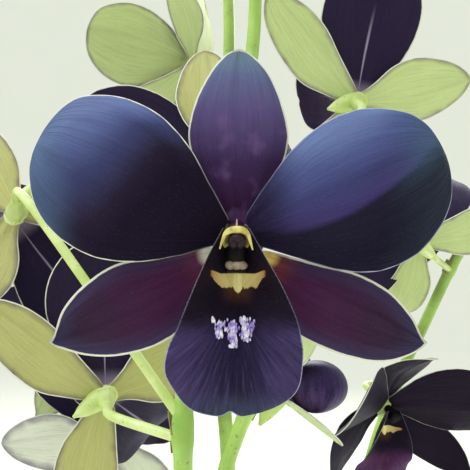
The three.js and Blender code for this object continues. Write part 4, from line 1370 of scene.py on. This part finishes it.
def make_daylight():
    scene = bpy.context.scene
    scene.view_settings.view_transform = "Standard"
    world = bpy.data.worlds.new("daylight")
    world.use_nodes = True
    sky = world.node_tree.nodes["Background"]
    sky.inputs[0].default_value = (0.93, 0.96, 0.92, 1)
    sky.inputs[1].default_value = 0.85
    scene.world = world
    middle = (0, -0.02, 0.55)
    make_light("back_light", (0.3, 1.5, 1.5), middle, (1.6, 1.2), 32, (1.0, 1.0, 0.94))
    make_light("top_light", (-0.5, -0.1, 1.6), middle, (1.0, 1.0), 12, (0.86, 0.92, 1.0))


make_camera()
make_floor()
make_daylight()

FACES = dark_face_looks()
BACKS = {
    # The pale, olive and white backs are partly their own colour and partly painted glow of the backlight
    # shining through them.
    "pale": sepal_back_look("sepal_back_pale", tint(204, 218, 150), tint(136, 126, 128), 1.8),
    "olive": sepal_back_look("sepal_back_olive", tint(192, 190, 122), tint(126, 112, 100), 2.2),
    "white": sepal_back_look("sepal_back_white", tint(232, 234, 216), tint(140, 130, 146), 3.2),
    "petal": petal_back_look("petal_back", tint(46, 37, 58), tint(176, 160, 190)),
}
REST = {
    "lip": lip_look("lip_face"),
    "lip_magenta": lip_look("lip_face_magenta", tint(84, 24, 66)),
    "lip_back": petal_back_look("lip_back", tint(54, 40, 62), tint(150, 132, 130)),
    "callus": plain_look("callus_warts", tint(255, 252, 255), tint(150, 122, 206), 700.0, 0.25, 0.05),
    "column": plain_look("column_hood", tint(226, 214, 124), tint(160, 140, 66), 400.0, 0.4, 0.05),
    "pink": plain_look("column_tip", tint(226, 176, 190), tint(180, 120, 140), 900.0, 0.4, 0.05),
    # nearly black: painted shade of the stigma's hollow under the cap
    "throat": plain_look("column_throat", tint(26, 18, 22), tint(12, 9, 12), 400.0, 0.6, 0.05,
                         specular_ior_level=0.15),
    "pad": plain_look("column_pad", tint(178, 158, 136), tint(132, 110, 98), 500.0, 0.5, 0.05),
    "cap": plain_look("anther_cap", tint(44, 22, 36), tint(26, 14, 22), 500.0, 0.4, 0.05,
                      specular_ior_level=0.25),
    "pedicel": stem_look("pedicel_skin", tint(228, 240, 168), tint(190, 212, 116), tint(160, 130, 100), 1.5),
    "bud": bud_look("bud_skin", tint(120, 132, 66), tint(172, 178, 112)),
    "ball": bud_look("petal_ball", tint(40, 34, 58), tint(58, 44, 78)),
}

make_pot(clay_look())
make_bark(bark_look("bark_dark", tint(88, 62, 44), tint(48, 34, 26)),
          bark_look("bark_mid", tint(120, 86, 60), tint(72, 50, 36)),
          bark_look("bark_light", tint(150, 112, 80), tint(92, 66, 46)))
make_canes(cane_look(), husk_look())
make_leaves(leaf_look("leaf_top", tint(92, 128, 56), tint(56, 92, 38)),
            leaf_look("leaf_under", tint(134, 158, 84), tint(100, 128, 62)),
            leaf_look("leaf_sleeve", tint(138, 158, 78), tint(104, 128, 58)))
make_spikes(stem_look("spike_skin", tint(186, 222, 112), tint(142, 180, 76), tint(140, 110, 84),
                      low=tint(104, 132, 62)),
            stem_look("bract_skin", tint(190, 184, 124), tint(150, 134, 84), tint(110, 80, 60)))
make_first_flower(FACES, BACKS, REST)
make_later_flowers(FACES, BACKS, REST)
make_opening_flower(FACES, BACKS, REST)
make_buds(REST["bud"])
